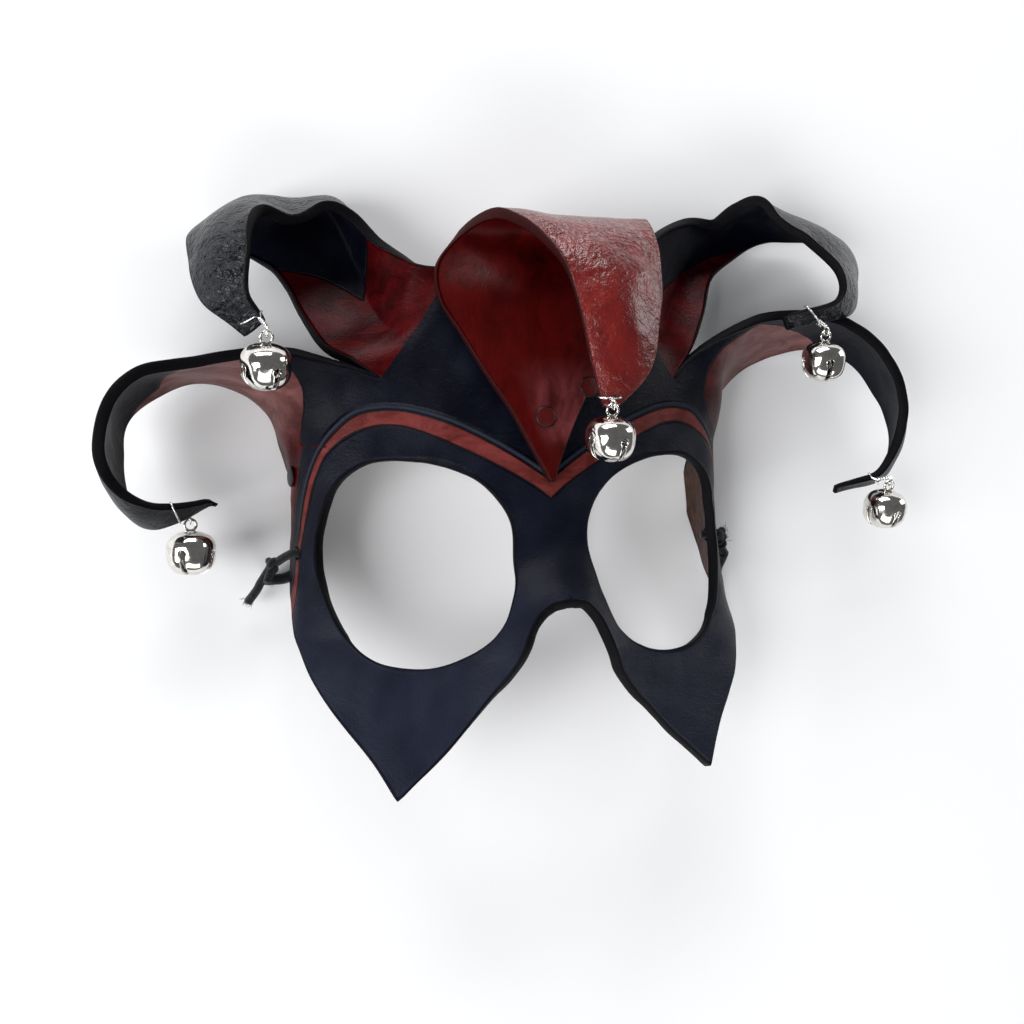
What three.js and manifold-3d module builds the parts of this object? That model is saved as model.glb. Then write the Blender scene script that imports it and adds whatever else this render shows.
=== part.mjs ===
// A leather jester half mask, lying on its back with the face up.
// Millimetres. +X is the viewer's right, +Y the top of the mask, +Z the way the face looks.
// Z = 0 is the surface that the mask lies on. The sizes below measure X and Y from the bottom of
// the brow's middle line, and at the end the whole mask moves so that its box is centred on the origin.

import * as THREE from 'three';
import { mergeVertices } from 'three/addons/utils/BufferGeometryUtils.js';
import Module from 'manifold-3d';

const wasm = await Module();
wasm.setup();

// Leather and the curve of the face
const leatherThickness = 3;
const pieceGap = 0.3;
const groundSize = 300;         // block that trims what lies below the surface
const groundDepth = 40;
const drillLength = 16;
const drillSides = 12;
const browHeight = 39;          // from the surface below to the middle of the brow
const browRadius = 112;         // sideways curve across the brow and cheeks
const browHalfArc = 54.5;       // length of that curve on each side of the middle
const templeRadius = 22;        // tighter curve round the temples
const templeTurn = 1.745;       // angle in radians where the temple stops turning
const foreheadStart = 5;        // height on the face where the forehead starts to lean back
const foreheadLean = 0.0022;    // how fast it leans back
const foreheadWidth = 60;       // distance from the middle where the lean has died out
const bridgeWidth = 13.5;
const bridgeHeight = 1;
const bridgeEnd = 30;           // height on the face where the bridge has faded out
const bridgeGrowth = 24;        // extra height that the nose bridge gains on the way down
const bridgeGrowthSpan = [14, 44]; // distances below the brow between which it gains that height
const cheekFlare = 5;           // how far the cheeks stand out sideways
const cheekRise = 1.5;          // how far they stand out forwards there
const cheekFlareAt = -52;
const cheekFlareLength = 22;
const cheekFlareArc = [40, 70]; // distance from the middle where the flare starts and is full
const cheekLiftStart = -38;     // height on the face where the cheeks start to rise off it
const cheekLift = 0.24;

// Middle of the mask's box, cord and knots left out
const boxCentre = [5.8, 3];

// Eye openings: the radius at equal turns, anticlockwise from the temple side on the viewer's right
const eyeCentre = [37.4, -19];
const eyeRadii = [26.8, 28.2, 29.6, 29.3, 27.3, 27.1, 28, 28, 26.3, 26, 27.5, 27.2, 27.1, 26.8, 25, 24.5];
const eyeRings = 3;             // rows of faces between an eye opening and the outer edge

// Outer edge of one half of the face, as distance across and height on the face
const foreheadTop = [0, 54];
const upperHornTop = [22, 60];
const hornValley = [43.5, 30.5];
const templeTop = [85.5, 4];
const templeFoot = [85.5, -8];
const cheekTip = [46.2, -79.2];
const noseNotch = [0, -29];
const noseCurve = [[5, -30.5], [9.2, -34.8], [14.2, -46], [19.8, -53.7], [31, -66]];
const cheekCurve = [[51.1, -69.3], [60.6, -53.9], [69.1, -39.5], [77, -28], [82, -17]];

// Each horn is a strip of the same leather with a front edge and a rear edge.
// bow raises the middle of the strip towards its smooth side, and crease is a folded middle line.
// The stations are measured near the rough side, so the smooth side lies inset from them.
const lowerLeftHorn = {
  inset: 1.2,
  front: [[52, 35, 28], [66, 37.7, 28], [80, 36.8, 28], [93, 34.2, 29], [104.6, 31.6, 31], [111, 25, 33],
    [114, 15, 33], [112.4, 6.9, 31], [106.3, 0.5, 28], [98, -1.6, 24], [86, 0, 18]],
  rear: [[65, 14.5, -0.6], [68, 24, -0.6], [77, 31, 0.6], [88, 33, 4], [98.5, 29, 9], [107, 21.5, 12],
    [109, 11, 16], [107.8, 0.7, 18], [102.5, -5.2, 18], [96, -5.3, 17], [85, 0, 18]],
  bow: [5, 2, 0, -1, -2, -2, -1, -1, -1, 0, 0],
};
const lowerRightHorn = {
  inset: 1.2,
  front: [[53, 40, 27], [63, 45, 26], [75, 49, 25.5], [88, 50.2, 24.5], [102, 48.4, 25.5], [112, 41, 28],
    [119.3, 31, 29], [121.4, 20, 28], [119.4, 9, 26], [113, 1, 25], [100, -2, 24]],
  rear: [[66.5, 15, -0.6], [70.5, 26.3, -0.6], [78.5, 35.4, 0.6], [91, 41.2, 3.5], [104, 43, 6],
    [116, 38.5, 9], [122.5, 29.2, 12], [125.4, 19, 15], [124.4, 9, 18], [118, 0, 20], [100, -4, 23]],
  bow: [5, 2, 0, -1, -2, -2, -1, -1, -1, 0, 0],
};
const upperLeftHorn = {
  inset: 2.4,
  front: [[30, 60.8, 27], [34.5, 63.8, 23], [40.5, 67.8, 19], [47, 75, 17], [54, 77.4, 19],
    [64, 73.6, 23], [72, 75, 28], [76, 70, 34], [78.3, 60, 38], [78.6, 50.5, 39], [74.4, 44.2, 37]],
  crease: [[37, 44, 23], [40, 51, 14], [42, 61, 8], [46, 72.4, 6], [52, 81.6, 7], [63.4, 81.8, 9],
    [75.5, 79.6, 15], [82, 73, 24], [85, 64, 32], [84.5, 52, 36], [76.4, 42.4, 35.5]],
  rear: [[49, 35, 26], [55, 39.5, 20], [60, 49.5, 13], [63, 57.5, 8], [68, 64.5, 6], [75, 69.5, 5],
    [84.4, 73.6, 8], [89.6, 69.4, 16], [90, 61, 24], [88, 49, 30.5], [79, 40.6, 33]],
};
const upperRightHorn = {
  inset: 2.4,
  front: [[33, 65, 27], [42, 73, 22], [53, 78, 18], [63, 78, 17], [70, 83, 20], [76, 85, 24],
    [82, 78, 27], [91, 71, 30], [99, 62, 32], [96.8, 52.2, 33], [78, 47.4, 35]],
  crease: [[42, 46, 21], [51.5, 57.5, 12], [60.5, 69.5, 7], [70, 78, 6], [79, 84, 8], [88, 84, 12],
    [98, 80, 16], [105.5, 74, 21], [106.4, 64, 26], [102.4, 52.2, 30], [79, 45.8, 34.5]],
  rear: [[48.5, 37.5, 25], [57, 50, 18], [64, 63.2, 11], [75, 71.3, 7], [86, 77.2, 5], [97, 79, 5],
    [110, 78.6, 8], [115.2, 73.6, 12], [113.6, 63.2, 18], [106.2, 50.4, 25], [80, 44.4, 33.5]],
};
const tipThickness = 0.5;        // share of the thickness left at a horn's tip
const skiveShare = 0.8;          // share of the horn's length where the thinning starts
const stepsPerStation = 2;
const creaseSharpness = [1.15, 1.2, 1.25, 1.3, 1.35, 1.4, 1.5, 1.6, 1.7, 1.9, 2];

// The centre horn is a separate leaf of leather, riveted to the forehead and rolled forward
const centreHorn = {
  left: [[-1, 2, 44.6], [-6, 11, 43.9], [-11, 21, 42.4], [-17, 31, 40.4], [-23, 42, 38.2],
    [-28, 51, 36.3], [-27.8, 60.5, 34.5], [-20.5, 68.5, 33.5], [-12.3, 72.3, 38], [-6, 67, 46],
    [0, 58, 52], [3, 48, 55], [6, 32, 56], [9, 20.6, 55]],
  right: [[0, 2, 44.6], [3, 9, 44], [8, 19, 42.6], [14, 29, 40.7], [20, 40, 38.7],
    [26, 51, 36.5], [30, 60, 34.5], [33, 66.5, 33.5], [32.5, 71, 36], [31, 66, 42], [29, 57, 48],
    [26.5, 47, 52], [22.6, 31.5, 55], [13.6, 20.8, 55]],
  bow: [0, 0, 0, 0, 1.5, 3, 1, -1, 0.5, -1, -3, -3.5, -2.5, 0],
};
const leafColumns = 5;
const leafGap = 0.5;             // between the leaf and the forehead below it
const leafLift = [0.24, 0.4];    // shares of the leaf's length between which it leaves the forehead

// Rivets: where each goes through the leather, by distance across and height on the face
const rivetHeadRadius = 2.9;
const rivetHeadHeight = 1.1;
const rivetShankRadius = 1.2;
const rivetWasherRadius = 2;
const rivetWasherGap = 0.6;      // room for the curve of the rough side
const rivetWasherHeight = 0.7;
const rivetSides = 8;
const rivetDome = [[1, 0], [1, 0.4], [0.7, 0.85], [0, 1]]; // shares of the head's radius and height
const centreRivets = [[-1.5, 18.5], [11.5, 26.5]];
const templeRivet = [76, 6];

// Bells: the centre of each and the horn that it hangs from
const bellRadius = 6.5;
const bellHeight = 11.6;
const bellWall = 0.6;
const bellSides = 10;
const bellRows = 6;
const slitWidth = 1.3;
const slitEndRadius = 1.1;
const ringRadius = 1.5;
const ringWireRadius = 0.45;
const pelletRadius = 2.2;
const bells = [
  { name: 'upper_left', strip: 3, centre: [-74.2, 32.5, 39.5] },
  { name: 'lower_left', strip: 2, centre: [-92, -13.5, 15] },
  { name: 'centre', strip: 4, centre: [9.8, 11.8, 58.5] },
  { name: 'upper_right', strip: 1, centre: [90, 35, 34] },
  { name: 'lower_right', strip: 0, centre: [114, -9.3, 27.8] },
];

// Bell wires: once round the horn near its tip, then down through the ring
const wireRadius = 0.4;
const wireClearance = 1.4;       // from the middle of the wire to the leather
const wireSides = 5;
const wireLoopTurn = 5.4;        // angle in radians that the wire goes round the strip
const wireLoopPoints = 9;
const wireSteps = 18;
const wireHook = [[0, 2.2, 1.7], [0, 0.5, 1.2], [0, -0.1, 0], [0, 0.6, -1.2]];

// Head cord: knotted outside both temple holes, the spare length wound up below the forehead
const cordRadius = 1.5;
const cordHeight = 1.65;         // middle of the cord where it lies on the surface
const cordSides = 8;
const cordHole = [73, -15];
const cordHoleRadius = 2;
const coilCentre = [8, 33];
const coilMeanRadius = 16.5;
const coilTurns = 2;
const coilSides = 24;
const knotRadius = 3;
const leftKnot = [-70.3, -18, 8.5];
const rightKnot = [67.6, -17.4, 8.2];
const leftRun = [[-71.5, -21.2, 5.6], [-71.2, -22.2, 3], [-69, -22.3, cordHeight],
  [-65.5, -22, cordHeight], [-61.5, -19.5, cordHeight], [-58.4, -14, cordHeight],
  [-57.6, -4, cordHeight], [-56.4, 8, cordHeight], [-50, 17, cordHeight], [-36, 21, cordHeight],
  [-22, 20, cordHeight], [-12, 17.4, cordHeight], [-5, 16, cordHeight]];
const rightRun = [[17.5, 12.6, cordHeight], [20.8, 8.6, cordHeight], [22.3, 3, cordHeight],
  [22.3, -4, cordHeight], [21, -12, cordHeight], [20.5, -20, cordHeight], [22.5, -28, cordHeight],
  [26.3, -36, cordHeight], [29.5, -42, cordHeight], [33, -48, cordHeight], [40, -54.5, cordHeight],
  [50, -57, cordHeight], [60, -54.5, cordHeight], [66.5, -48, cordHeight], [68.8, -41, cordHeight],
  [69, -35, cordHeight], [69, -30, cordHeight], [69.8, -26, cordHeight], [70.6, -23.2, 3],
  [70.2, -21.2, 5.4]];
const leftTail = [[-70.3, -18, 8.5], [-73, -22, 8], [-75, -25.5, 6.5], [-76.8, -28, 4.8]];
const leftStub = [[-70.3, -18, 8.5], [-71.8, -22.4, 10.2]];
const rightTail = [[67.6, -17.4, 8.2], [68.4, -15.4, 7.4], [69.4, -14, 6.4]];
const rightStub = [[67.6, -17.4, 8.2], [67.9, -15.8, 10]];

const colour = {
  black: { color: 0x14161b, roughness: 0.55, metalness: 0 },
  red: { color: 0x5c0d0d, roughness: 0.4, metalness: 0 },
  nickel: { color: 0xc9c4bc, roughness: 0.15, metalness: 1 },
  wire: { color: 0xd8d8d8, roughness: 0.25, metalness: 1 },
  cord: { color: 0x08090b, roughness: 0.95, metalness: 0 },
};

const mask = new THREE.Group();

function addPiece(name, geometry, finish) {
  const mesh = new THREE.Mesh(geometry, new THREE.MeshStandardMaterial(finish));
  mesh.name = name;
  mask.add(mesh);
  return mesh;
}

// Point on the smooth side of the face, for a distance across and a height on it
function facePoint(across, height) {
  const side = Math.sign(across);
  const arc = Math.abs(across);
  const browTurn = Math.min(arc, browHalfArc) / browRadius;
  const edgeTurn = browHalfArc / browRadius;
  const templeShare = (arc - browHalfArc) / templeRadius;
  const turn = edgeTurn + THREE.MathUtils.clamp(templeShare, 0, templeTurn - edgeTurn);
  let x = browRadius * Math.sin(browTurn);
  let z = browHeight - browRadius * (1 - Math.cos(browTurn));
  if (arc > browHalfArc) {
    x += templeRadius * (Math.sin(turn) - Math.sin(edgeTurn));
    z -= templeRadius * (Math.cos(edgeTurn) - Math.cos(turn));
  }
  const straight = Math.max(arc - browHalfArc - templeRadius * (templeTurn - edgeTurn), 0);
  x += straight * Math.cos(templeTurn);
  z -= straight * Math.sin(templeTurn);
  const lean = Math.max(height - foreheadStart, 0);
  z -= foreheadLean * lean * lean * Math.exp(-((arc / foreheadWidth) ** 4));
  const growth = THREE.MathUtils.smoothstep(-height, ...bridgeGrowthSpan);
  const fade = THREE.MathUtils.clamp((bridgeEnd - height) / (bridgeEnd - foreheadStart), 0, 1);
  z += Math.exp(-((arc / bridgeWidth) ** 2)) * (bridgeHeight * fade + bridgeGrowth * growth);
  z += cheekLift * Math.max(cheekLiftStart - height, 0);
  const flareZone = Math.exp(-(((height - cheekFlareAt) / cheekFlareLength) ** 2));
  const flareArc = (arc - cheekFlareArc[0]) / (cheekFlareArc[1] - cheekFlareArc[0]);
  const flare = flareZone * THREE.MathUtils.clamp(flareArc, 0, 1);
  x += cheekFlare * flare;
  z += cheekRise * flare;
  return new THREE.Vector3(side * x, height, z);
}

// Unit vector out of the smooth side of the face
function faceNormal(across, height) {
  const step = 0.5;
  const along = facePoint(across + step, height).sub(facePoint(across - step, height));
  const up = facePoint(across, height + step).sub(facePoint(across, height - step));
  return along.cross(up).normalize();
}

// Smooth curve through a list of points, from 0 to 1, reaching every point at an equal share
function curveThrough(points) {
  const vectors = points.map((point) => new THREE.Vector3(...point, ...(point.length < 3 ? [0] : [])));
  const curve = new THREE.CatmullRomCurve3(vectors, false, 'catmullrom', 0.5);
  return (share) => curve.getPoint(share);
}

function stationValue(values, share) {
  const place = THREE.MathUtils.clamp(share, 0, 1) * (values.length - 1);
  const index = Math.min(Math.floor(place), values.length - 2);
  return THREE.MathUtils.lerp(values[index], values[index + 1], place - index);
}

// The outer edge of one half of the face, anticlockwise, in stretches with their own face counts
function outerEdge() {
  const straight = (from, to, count) => ({ curve: curveThrough([from, to]), count });
  return [
    { name: 'rootLower', ...straight(templeTop, hornValley, 4) },
    { name: 'rootUpper', ...straight(hornValley, upperHornTop, 4) },
    { name: 'top', ...straight(upperHornTop, foreheadTop, 2) },
    { name: 'middle', ...straight(foreheadTop, noseNotch, 7) },
    { name: 'nose', curve: curveThrough([noseNotch, ...noseCurve, cheekTip]), count: 9 },
    { name: 'cheek', curve: curveThrough([cheekTip, ...cheekCurve, templeFoot]), count: 9 },
    { name: 'temple', ...straight(templeFoot, templeTop, 2) },
  ];
}

const eyeKnots = eyeRadii.map((radius) => new THREE.Vector3(radius, 0, 0));
const eyeCurve = new THREE.CatmullRomCurve3(eyeKnots, true, 'catmullrom', 0.5);

function eyeEdge(angle) {
  const radius = eyeCurve.getPoint((angle / (2 * Math.PI) + 1) % 1).x;
  return [eyeCentre[0] + radius * Math.cos(angle), eyeCentre[1] + radius * Math.sin(angle)];
}

// One half of the face as a ring of faces round the eye opening, and the roots of its two horns
function halfFace(side) {
  const rows = Array.from({ length: eyeRings + 1 }, () => []);
  const roots = {};
  for (const { name, curve, count } of outerEdge()) {
    const root = [];
    for (let step = 0; step <= count; step += 1) {
      const outer = curve(step / count);
      root.push([outer.x, outer.y]);
      if (step === count) continue;
      const angle = Math.atan2(outer.y - eyeCentre[1], outer.x - eyeCentre[0]);
      const inner = eyeEdge(angle);
      rows.forEach((row, ring) => {
        const share = ring / eyeRings;
        const across = THREE.MathUtils.lerp(inner[0], outer.x, share);
        const height = THREE.MathUtils.lerp(inner[1], outer.y, share);
        row.push(facePoint(side * across, height));
      });
    }
    roots[name] = root;
  }
  rows.forEach((row) => row.push(row[0].clone()));
  return { rows, roots };
}

// A strip from its root on the face to its tip, as rows of points from the rear edge to the front
function hornRows(horn, side, root) {
  const place = ([x, y, z]) => [side * x, y, z];
  const rear = curveThrough([root[0].toArray(), ...horn.rear.map(place)]);
  const front = curveThrough([root[root.length - 1].toArray(), ...horn.front.map(place)]);
  const rootMiddle = root[Math.floor(root.length / 2)];
  const crease = horn.crease && curveThrough([rootMiddle.toArray(), ...horn.crease.map(place)]);
  const stations = horn.front.length;
  const rows = [];
  const count = stations * stepsPerStation;
  for (let step = 0; step <= count; step += 1) {
    const share = step / count;
    const from = rear(share);
    const to = front(share);
    const along = front(Math.min(share + 0.01, 1)).add(rear(Math.min(share + 0.01, 1)))
      .sub(front(Math.max(share - 0.01, 0))).sub(rear(Math.max(share - 0.01, 0)));
    const outward = along.cross(to.clone().sub(from)).normalize().multiplyScalar(side);
    const middle = from.clone().add(to).multiplyScalar(0.5);
    const lift = crease
      ? crease(share).sub(middle)
      : outward.clone().multiplyScalar(stationValue([0, ...horn.bow], share));
    const sharpness = crease ? stationValue([1.15, ...creaseSharpness], share) : 2;
    const inset = outward.clone().multiplyScalar(horn.inset * Math.min(step / stepsPerStation, 1));
    const row = root.map((rootPoint, index) => {
      const across = index / (root.length - 1);
      const weight = 1 - Math.abs(2 * across - 1) ** sharpness;
      return from.clone().lerp(to, across).addScaledVector(lift, weight).add(inset);
    });
    rows.push(row);
  }
  rows.forEach((row, step) => {
    const thinning = Math.max((step / count - skiveShare) / (1 - skiveShare), 0);
    row.forEach((point) => { point.thickness = THREE.MathUtils.lerp(1, tipThickness, thinning); });
  });
  const offsets = root.map((rootPoint, index) => rootPoint.clone().sub(rows[0][index]));
  const fadeSteps = stepsPerStation * 1.5;
  rows.forEach((row, step) => {
    const fade = Math.max(1 - step / fadeSteps, 0) ** 2;
    row.forEach((point, index) => point.addScaledVector(offsets[index], fade));
  });
  return rows;
}

// Rows of points become a sheet of leather: a smooth side, a rough side and a wall round the edge
function leatherSheet(patches, thickness) {
  const points = [];
  const known = new Map();
  const indexOf = (point) => {
    const key = point.toArray().map((value) => Math.round(value * 500)).join(',');
    if (!known.has(key)) {
      known.set(key, points.length);
      points.push(point);
    }
    return known.get(key);
  };
  const faces = [];
  const addFace = (a, b, c) => {
    if (a !== b && b !== c && c !== a) faces.push([a, b, c]);
  };
  for (const { rows, flip } of patches) {
    for (let row = 0; row < rows.length - 1; row += 1) {
      for (let column = 0; column < rows[row].length - 1; column += 1) {
        const a = indexOf(rows[row][column]);
        const b = indexOf(rows[row + 1][column]);
        const c = indexOf(rows[row + 1][column + 1]);
        const d = indexOf(rows[row][column + 1]);
        if (flip) {
          addFace(a, c, b);
          addFace(a, d, c);
        } else {
          addFace(a, b, c);
          addFace(a, c, d);
        }
      }
    }
  }
  const normals = points.map(() => new THREE.Vector3());
  for (const face of faces) {
    const [a, b, c] = face.map((index) => points[index]);
    const normal = b.clone().sub(a).cross(c.clone().sub(a));
    face.forEach((index) => normals[index].add(normal));
  }
  const count = points.length;
  const position = [];
  points.forEach((point) => position.push(...point.toArray()));
  points.forEach((point, index) => {
    const depth = thickness * (point.thickness ?? 1);
    const inner = point.clone().addScaledVector(normals[index].normalize(), -depth);
    position.push(...inner.toArray());
  });
  const indices = [];
  const openEdges = new Map();
  for (const [a, b, c] of faces) {
    indices.push(a, b, c, a + count, c + count, b + count);
    for (const [from, to] of [[a, b], [b, c], [c, a]]) {
      if (openEdges.has(`${to},${from}`)) openEdges.delete(`${to},${from}`);
      else openEdges.set(`${from},${to}`, [from, to]);
    }
  }
  for (const [from, to] of openEdges.values()) {
    indices.push(to, from, from + count, to, from + count, to + count);
  }
  const geometry = new THREE.BufferGeometry();
  geometry.setAttribute('position', new THREE.Float32BufferAttribute(position, 3));
  geometry.setIndex(indices);
  return geometry;
}

function toSolid(geometry) {
  const bare = geometry.clone();
  bare.deleteAttribute('normal');
  bare.deleteAttribute('uv');
  const merged = mergeVertices(bare, 1e-4);
  return new wasm.Manifold(new wasm.Mesh({
    numProp: 3,
    vertProperties: new Float32Array(merged.attributes.position.array),
    triVerts: new Uint32Array(merged.index.array),
  }));
}

function toGeometry(solid) {
  const { vertProperties, triVerts } = solid.getMesh();
  const geometry = new THREE.BufferGeometry();
  geometry.setAttribute('position', new THREE.BufferAttribute(new Float32Array(vertProperties), 3));
  geometry.setIndex(new THREE.BufferAttribute(new Uint32Array(triVerts), 1));
  return geometry;
}

// Turns a shape built along +Y so that it points along a direction, and moves it to a point
function pointAlong(geometry, direction, origin) {
  const turn = new THREE.Quaternion().setFromUnitVectors(new THREE.Vector3(0, 1, 0), direction);
  return geometry.applyQuaternion(turn).translate(origin.x, origin.y, origin.z);
}

function drill(across, height, radius) {
  const cutter = new THREE.CylinderGeometry(radius, radius, drillLength, drillSides);
  return toSolid(pointAlong(cutter, faceNormal(across, height), facePoint(across, height)));
}

// The face and its four side horns are one piece of leather
function leatherMask() {
  const patches = [];
  const strips = [];
  for (const side of [1, -1]) {
    const { rows, roots } = halfFace(side);
    patches.push({ rows, flip: side < 0 });
    const onFace = (name) => roots[name].map(([across, height]) => facePoint(side * across, height));
    const lower = side > 0 ? lowerRightHorn : lowerLeftHorn;
    const upper = side > 0 ? upperRightHorn : upperLeftHorn;
    for (const [horn, root] of [[lower, onFace('rootLower')], [upper, onFace('rootUpper')]]) {
      const strip = hornRows(horn, side, root);
      strips.push({ rows: strip, flip: side < 0 });
    }
  }
  let solid = toSolid(leatherSheet([...patches, ...strips], leatherThickness));
  const below = new THREE.BoxGeometry(groundSize, groundSize, groundDepth)
    .translate(0, 0, -groundDepth / 2);
  solid = solid.subtract(toSolid(below));
  for (const [across, height] of centreRivets) {
    solid = solid.subtract(drill(across, height, rivetShankRadius + pieceGap));
  }
  for (const side of [1, -1]) {
    solid = solid.subtract(drill(side * templeRivet[0], templeRivet[1], rivetShankRadius + pieceGap));
    solid = solid.subtract(drill(side * cordHole[0], cordHole[1], cordHoleRadius));
  }
  addPiece('leather_mask', toGeometry(solid), colour.black);
  return strips;
}

// The centre horn: rows of points from its point on the brow to its rolled tip
function centreHornRows() {
  const left = curveThrough(centreHorn.left);
  const right = curveThrough(centreHorn.right);
  const count = (centreHorn.left.length - 1) * stepsPerStation;
  const rows = [];
  for (let step = 0; step <= count; step += 1) {
    const share = step / count;
    const from = left(share);
    const to = right(share);
    const later = Math.min(share + 0.01, 1);
    const earlier = Math.max(share - 0.01, 0);
    const along = left(later).add(right(later)).sub(left(earlier)).sub(right(earlier));
    const outward = to.clone().sub(from).cross(along).normalize();
    const bow = stationValue(centreHorn.bow, share);
    const row = [];
    for (let column = 0; column <= leafColumns; column += 1) {
      const across = column / leafColumns;
      const point = from.clone().lerp(to, across);
      point.addScaledVector(outward, bow * (1 - (2 * across - 1) ** 2));
      const onFace = facePoint(point.x, point.y).z + leatherThickness + leafGap;
      point.z = THREE.MathUtils.lerp(onFace, point.z, THREE.MathUtils.smoothstep(share, ...leafLift));
      const thinning = Math.max((share - skiveShare) / (1 - skiveShare), 0);
      point.thickness = THREE.MathUtils.lerp(1, tipThickness, thinning);
      row.push(point);
    }
    rows.push(row);
  }
  return rows;
}

function centreHornPiece() {
  const strip = { rows: centreHornRows(), flip: true };
  let solid = toSolid(leatherSheet([strip], leatherThickness));
  for (const [across, height] of centreRivets) {
    solid = solid.subtract(drill(across, height, rivetShankRadius + pieceGap));
  }
  addPiece('centre_horn', toGeometry(solid), colour.red);
  return strip;
}

// A rivet: a low domed head outside, a shank through the leather and a washer inside
function rivet(name, across, height, leatherAbove, finish) {
  const outer = leatherAbove + pieceGap;
  const inner = -leatherThickness - rivetWasherGap;
  const profile = [
    [0, inner - rivetWasherHeight],
    [rivetWasherRadius, inner - rivetWasherHeight],
    [rivetWasherRadius, inner],
    [rivetShankRadius, inner],
    [rivetShankRadius, outer],
    ...rivetDome.map(([radius, level]) => [radius * rivetHeadRadius, outer + level * rivetHeadHeight]),
  ].map(([radius, level]) => new THREE.Vector2(radius, level));
  const shape = new THREE.LatheGeometry(profile, rivetSides);
  const solid = toSolid(pointAlong(shape, faceNormal(across, height), facePoint(across, height)));
  addPiece(name, toGeometry(solid), finish);
}

function jingleBell(name, [x, y, z]) {
  const ball = (radius, halfHeight) => new THREE.SphereGeometry(radius, bellSides, bellRows)
    .scale(1, halfHeight / radius, 1);
  let shell = toSolid(ball(bellRadius, bellHeight / 2));
  shell = shell.subtract(toSolid(ball(bellRadius - bellWall, bellHeight / 2 - bellWall)));
  for (const turn of [0, Math.PI / 2]) {
    const slit = new THREE.BoxGeometry(slitWidth, bellHeight, bellRadius * 3);
    slit.translate(0, -bellHeight / 2, 0).rotateY(turn);
    shell = shell.subtract(toSolid(slit));
    const slitEnd = new THREE.CylinderGeometry(slitEndRadius, slitEndRadius, bellRadius * 3, 6);
    slitEnd.rotateX(Math.PI / 2).rotateY(turn);
    shell = shell.subtract(toSolid(slitEnd));
  }
  const ring = new THREE.TorusGeometry(ringRadius, ringWireRadius, 5, 8);
  ring.translate(0, bellHeight / 2 + ringRadius, 0);
  shell = shell.add(toSolid(ring));
  addPiece(`${name}_bell`, toGeometry(shell).translate(x, y, z), colour.nickel);
  const pellet = new THREE.IcosahedronGeometry(pelletRadius, 0);
  const pelletDrop = bellHeight / 2 - bellWall - pelletRadius - pieceGap;
  addPiece(`${name}_pellet`, toGeometry(toSolid(pellet)).translate(x, y - pelletDrop, z), colour.nickel);
}

// A round tube along a list of points
function tubeAlong(points, radius, sides, steps) {
  const section = new THREE.Shape();
  for (let side = 0; side < sides; side += 1) {
    const angle = ((side + 0.5) / sides) * 2 * Math.PI;
    const corner = [radius * Math.cos(angle), radius * Math.sin(angle)];
    if (side === 0) section.moveTo(...corner);
    else section.lineTo(...corner);
  }
  const path = new THREE.CatmullRomCurve3(points.map((point) => new THREE.Vector3(...point)));
  return new THREE.ExtrudeGeometry(section, { steps, bevelEnabled: false, extrudePath: path });
}

// The wire goes round the strip one row from its tip, and its end hooks through the bell's ring
function bellWire(name, { rows, flip }, [x, y, z]) {
  const row = rows[rows.length - 2];
  const next = rows[rows.length - 1];
  const from = row[0];
  const to = row[row.length - 1];
  const flat = to.clone().sub(from).normalize();
  const along = next[0].clone().add(next[next.length - 1]).sub(from).sub(to);
  const upright = along.cross(flat).normalize();
  const depth = leatherThickness * row[0].thickness * (flip ? 1 : -1);
  const spread = row.flatMap((point) => [point, point.clone().addScaledVector(upright, depth)])
    .map((point) => [point.clone().sub(from).dot(flat), point.clone().sub(from).dot(upright)]);
  const [low, high] = [Math.min, Math.max].map((pick) => [0, 1].map((axis) => (
    pick(...spread.map((place) => place[axis])))));
  const centre = from.clone()
    .addScaledVector(flat, (low[0] + high[0]) / 2)
    .addScaledVector(upright, (low[1] + high[1]) / 2);
  const halfWidth = (high[0] - low[0]) / 2 + wireClearance;
  const halfHeight = (high[1] - low[1]) / 2 + wireClearance;
  const roundStrip = (angle) => {
    const [cosine, sine] = [Math.cos(angle), Math.sin(angle)];
    const squareness = (Math.abs(cosine) ** 3 + Math.abs(sine) ** 3) ** (-1 / 3);
    return centre.clone()
      .addScaledVector(flat, halfWidth * cosine * squareness)
      .addScaledVector(upright, halfHeight * sine * squareness);
  };
  const ringY = y + bellHeight / 2 + ringRadius;
  const hook = wireHook.map(([across, up, out]) => [x + across, ringY + up, z + out]);
  const target = new THREE.Vector3(...hook[0]);
  const distance = (angle) => roundStrip(angle).distanceTo(target);
  let nearest = 0;
  for (let angle = 0; angle < 2 * Math.PI; angle += 0.1) {
    if (distance(angle) < distance(nearest)) nearest = angle;
  }
  const points = [];
  for (let step = 1; step <= wireLoopPoints; step += 1) {
    const share = step / wireLoopPoints;
    points.push(roundStrip(nearest - (1 - share) * wireLoopTurn).toArray());
  }
  addPiece(`${name}_wire`, tubeAlong([...points, ...hook], wireRadius, wireSides, wireSteps), colour.wire);
}

// A knot in the cord, with one end of the cord through the hole and the cut ends hanging out
function tieEnd(name, side, knot, tails) {
  const hole = facePoint(side * cordHole[0], cordHole[1]);
  const outward = faceNormal(side * cordHole[0], cordHole[1]);
  const inside = hole.clone().addScaledVector(outward, -leatherThickness - cordRadius);
  const outside = hole.clone().addScaledVector(outward, cordRadius);
  const stub = [inside, hole, outside].map((point) => point.toArray());
  let solid = toSolid(new THREE.IcosahedronGeometry(knotRadius, 1).translate(...knot));
  solid = solid.add(toSolid(tubeAlong([...stub, knot], cordRadius, cordSides, 4)));
  for (const tail of tails) {
    solid = solid.add(toSolid(tubeAlong(tail, cordRadius, cordSides, 3)));
  }
  addPiece(name, toGeometry(solid), colour.cord);
}

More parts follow.
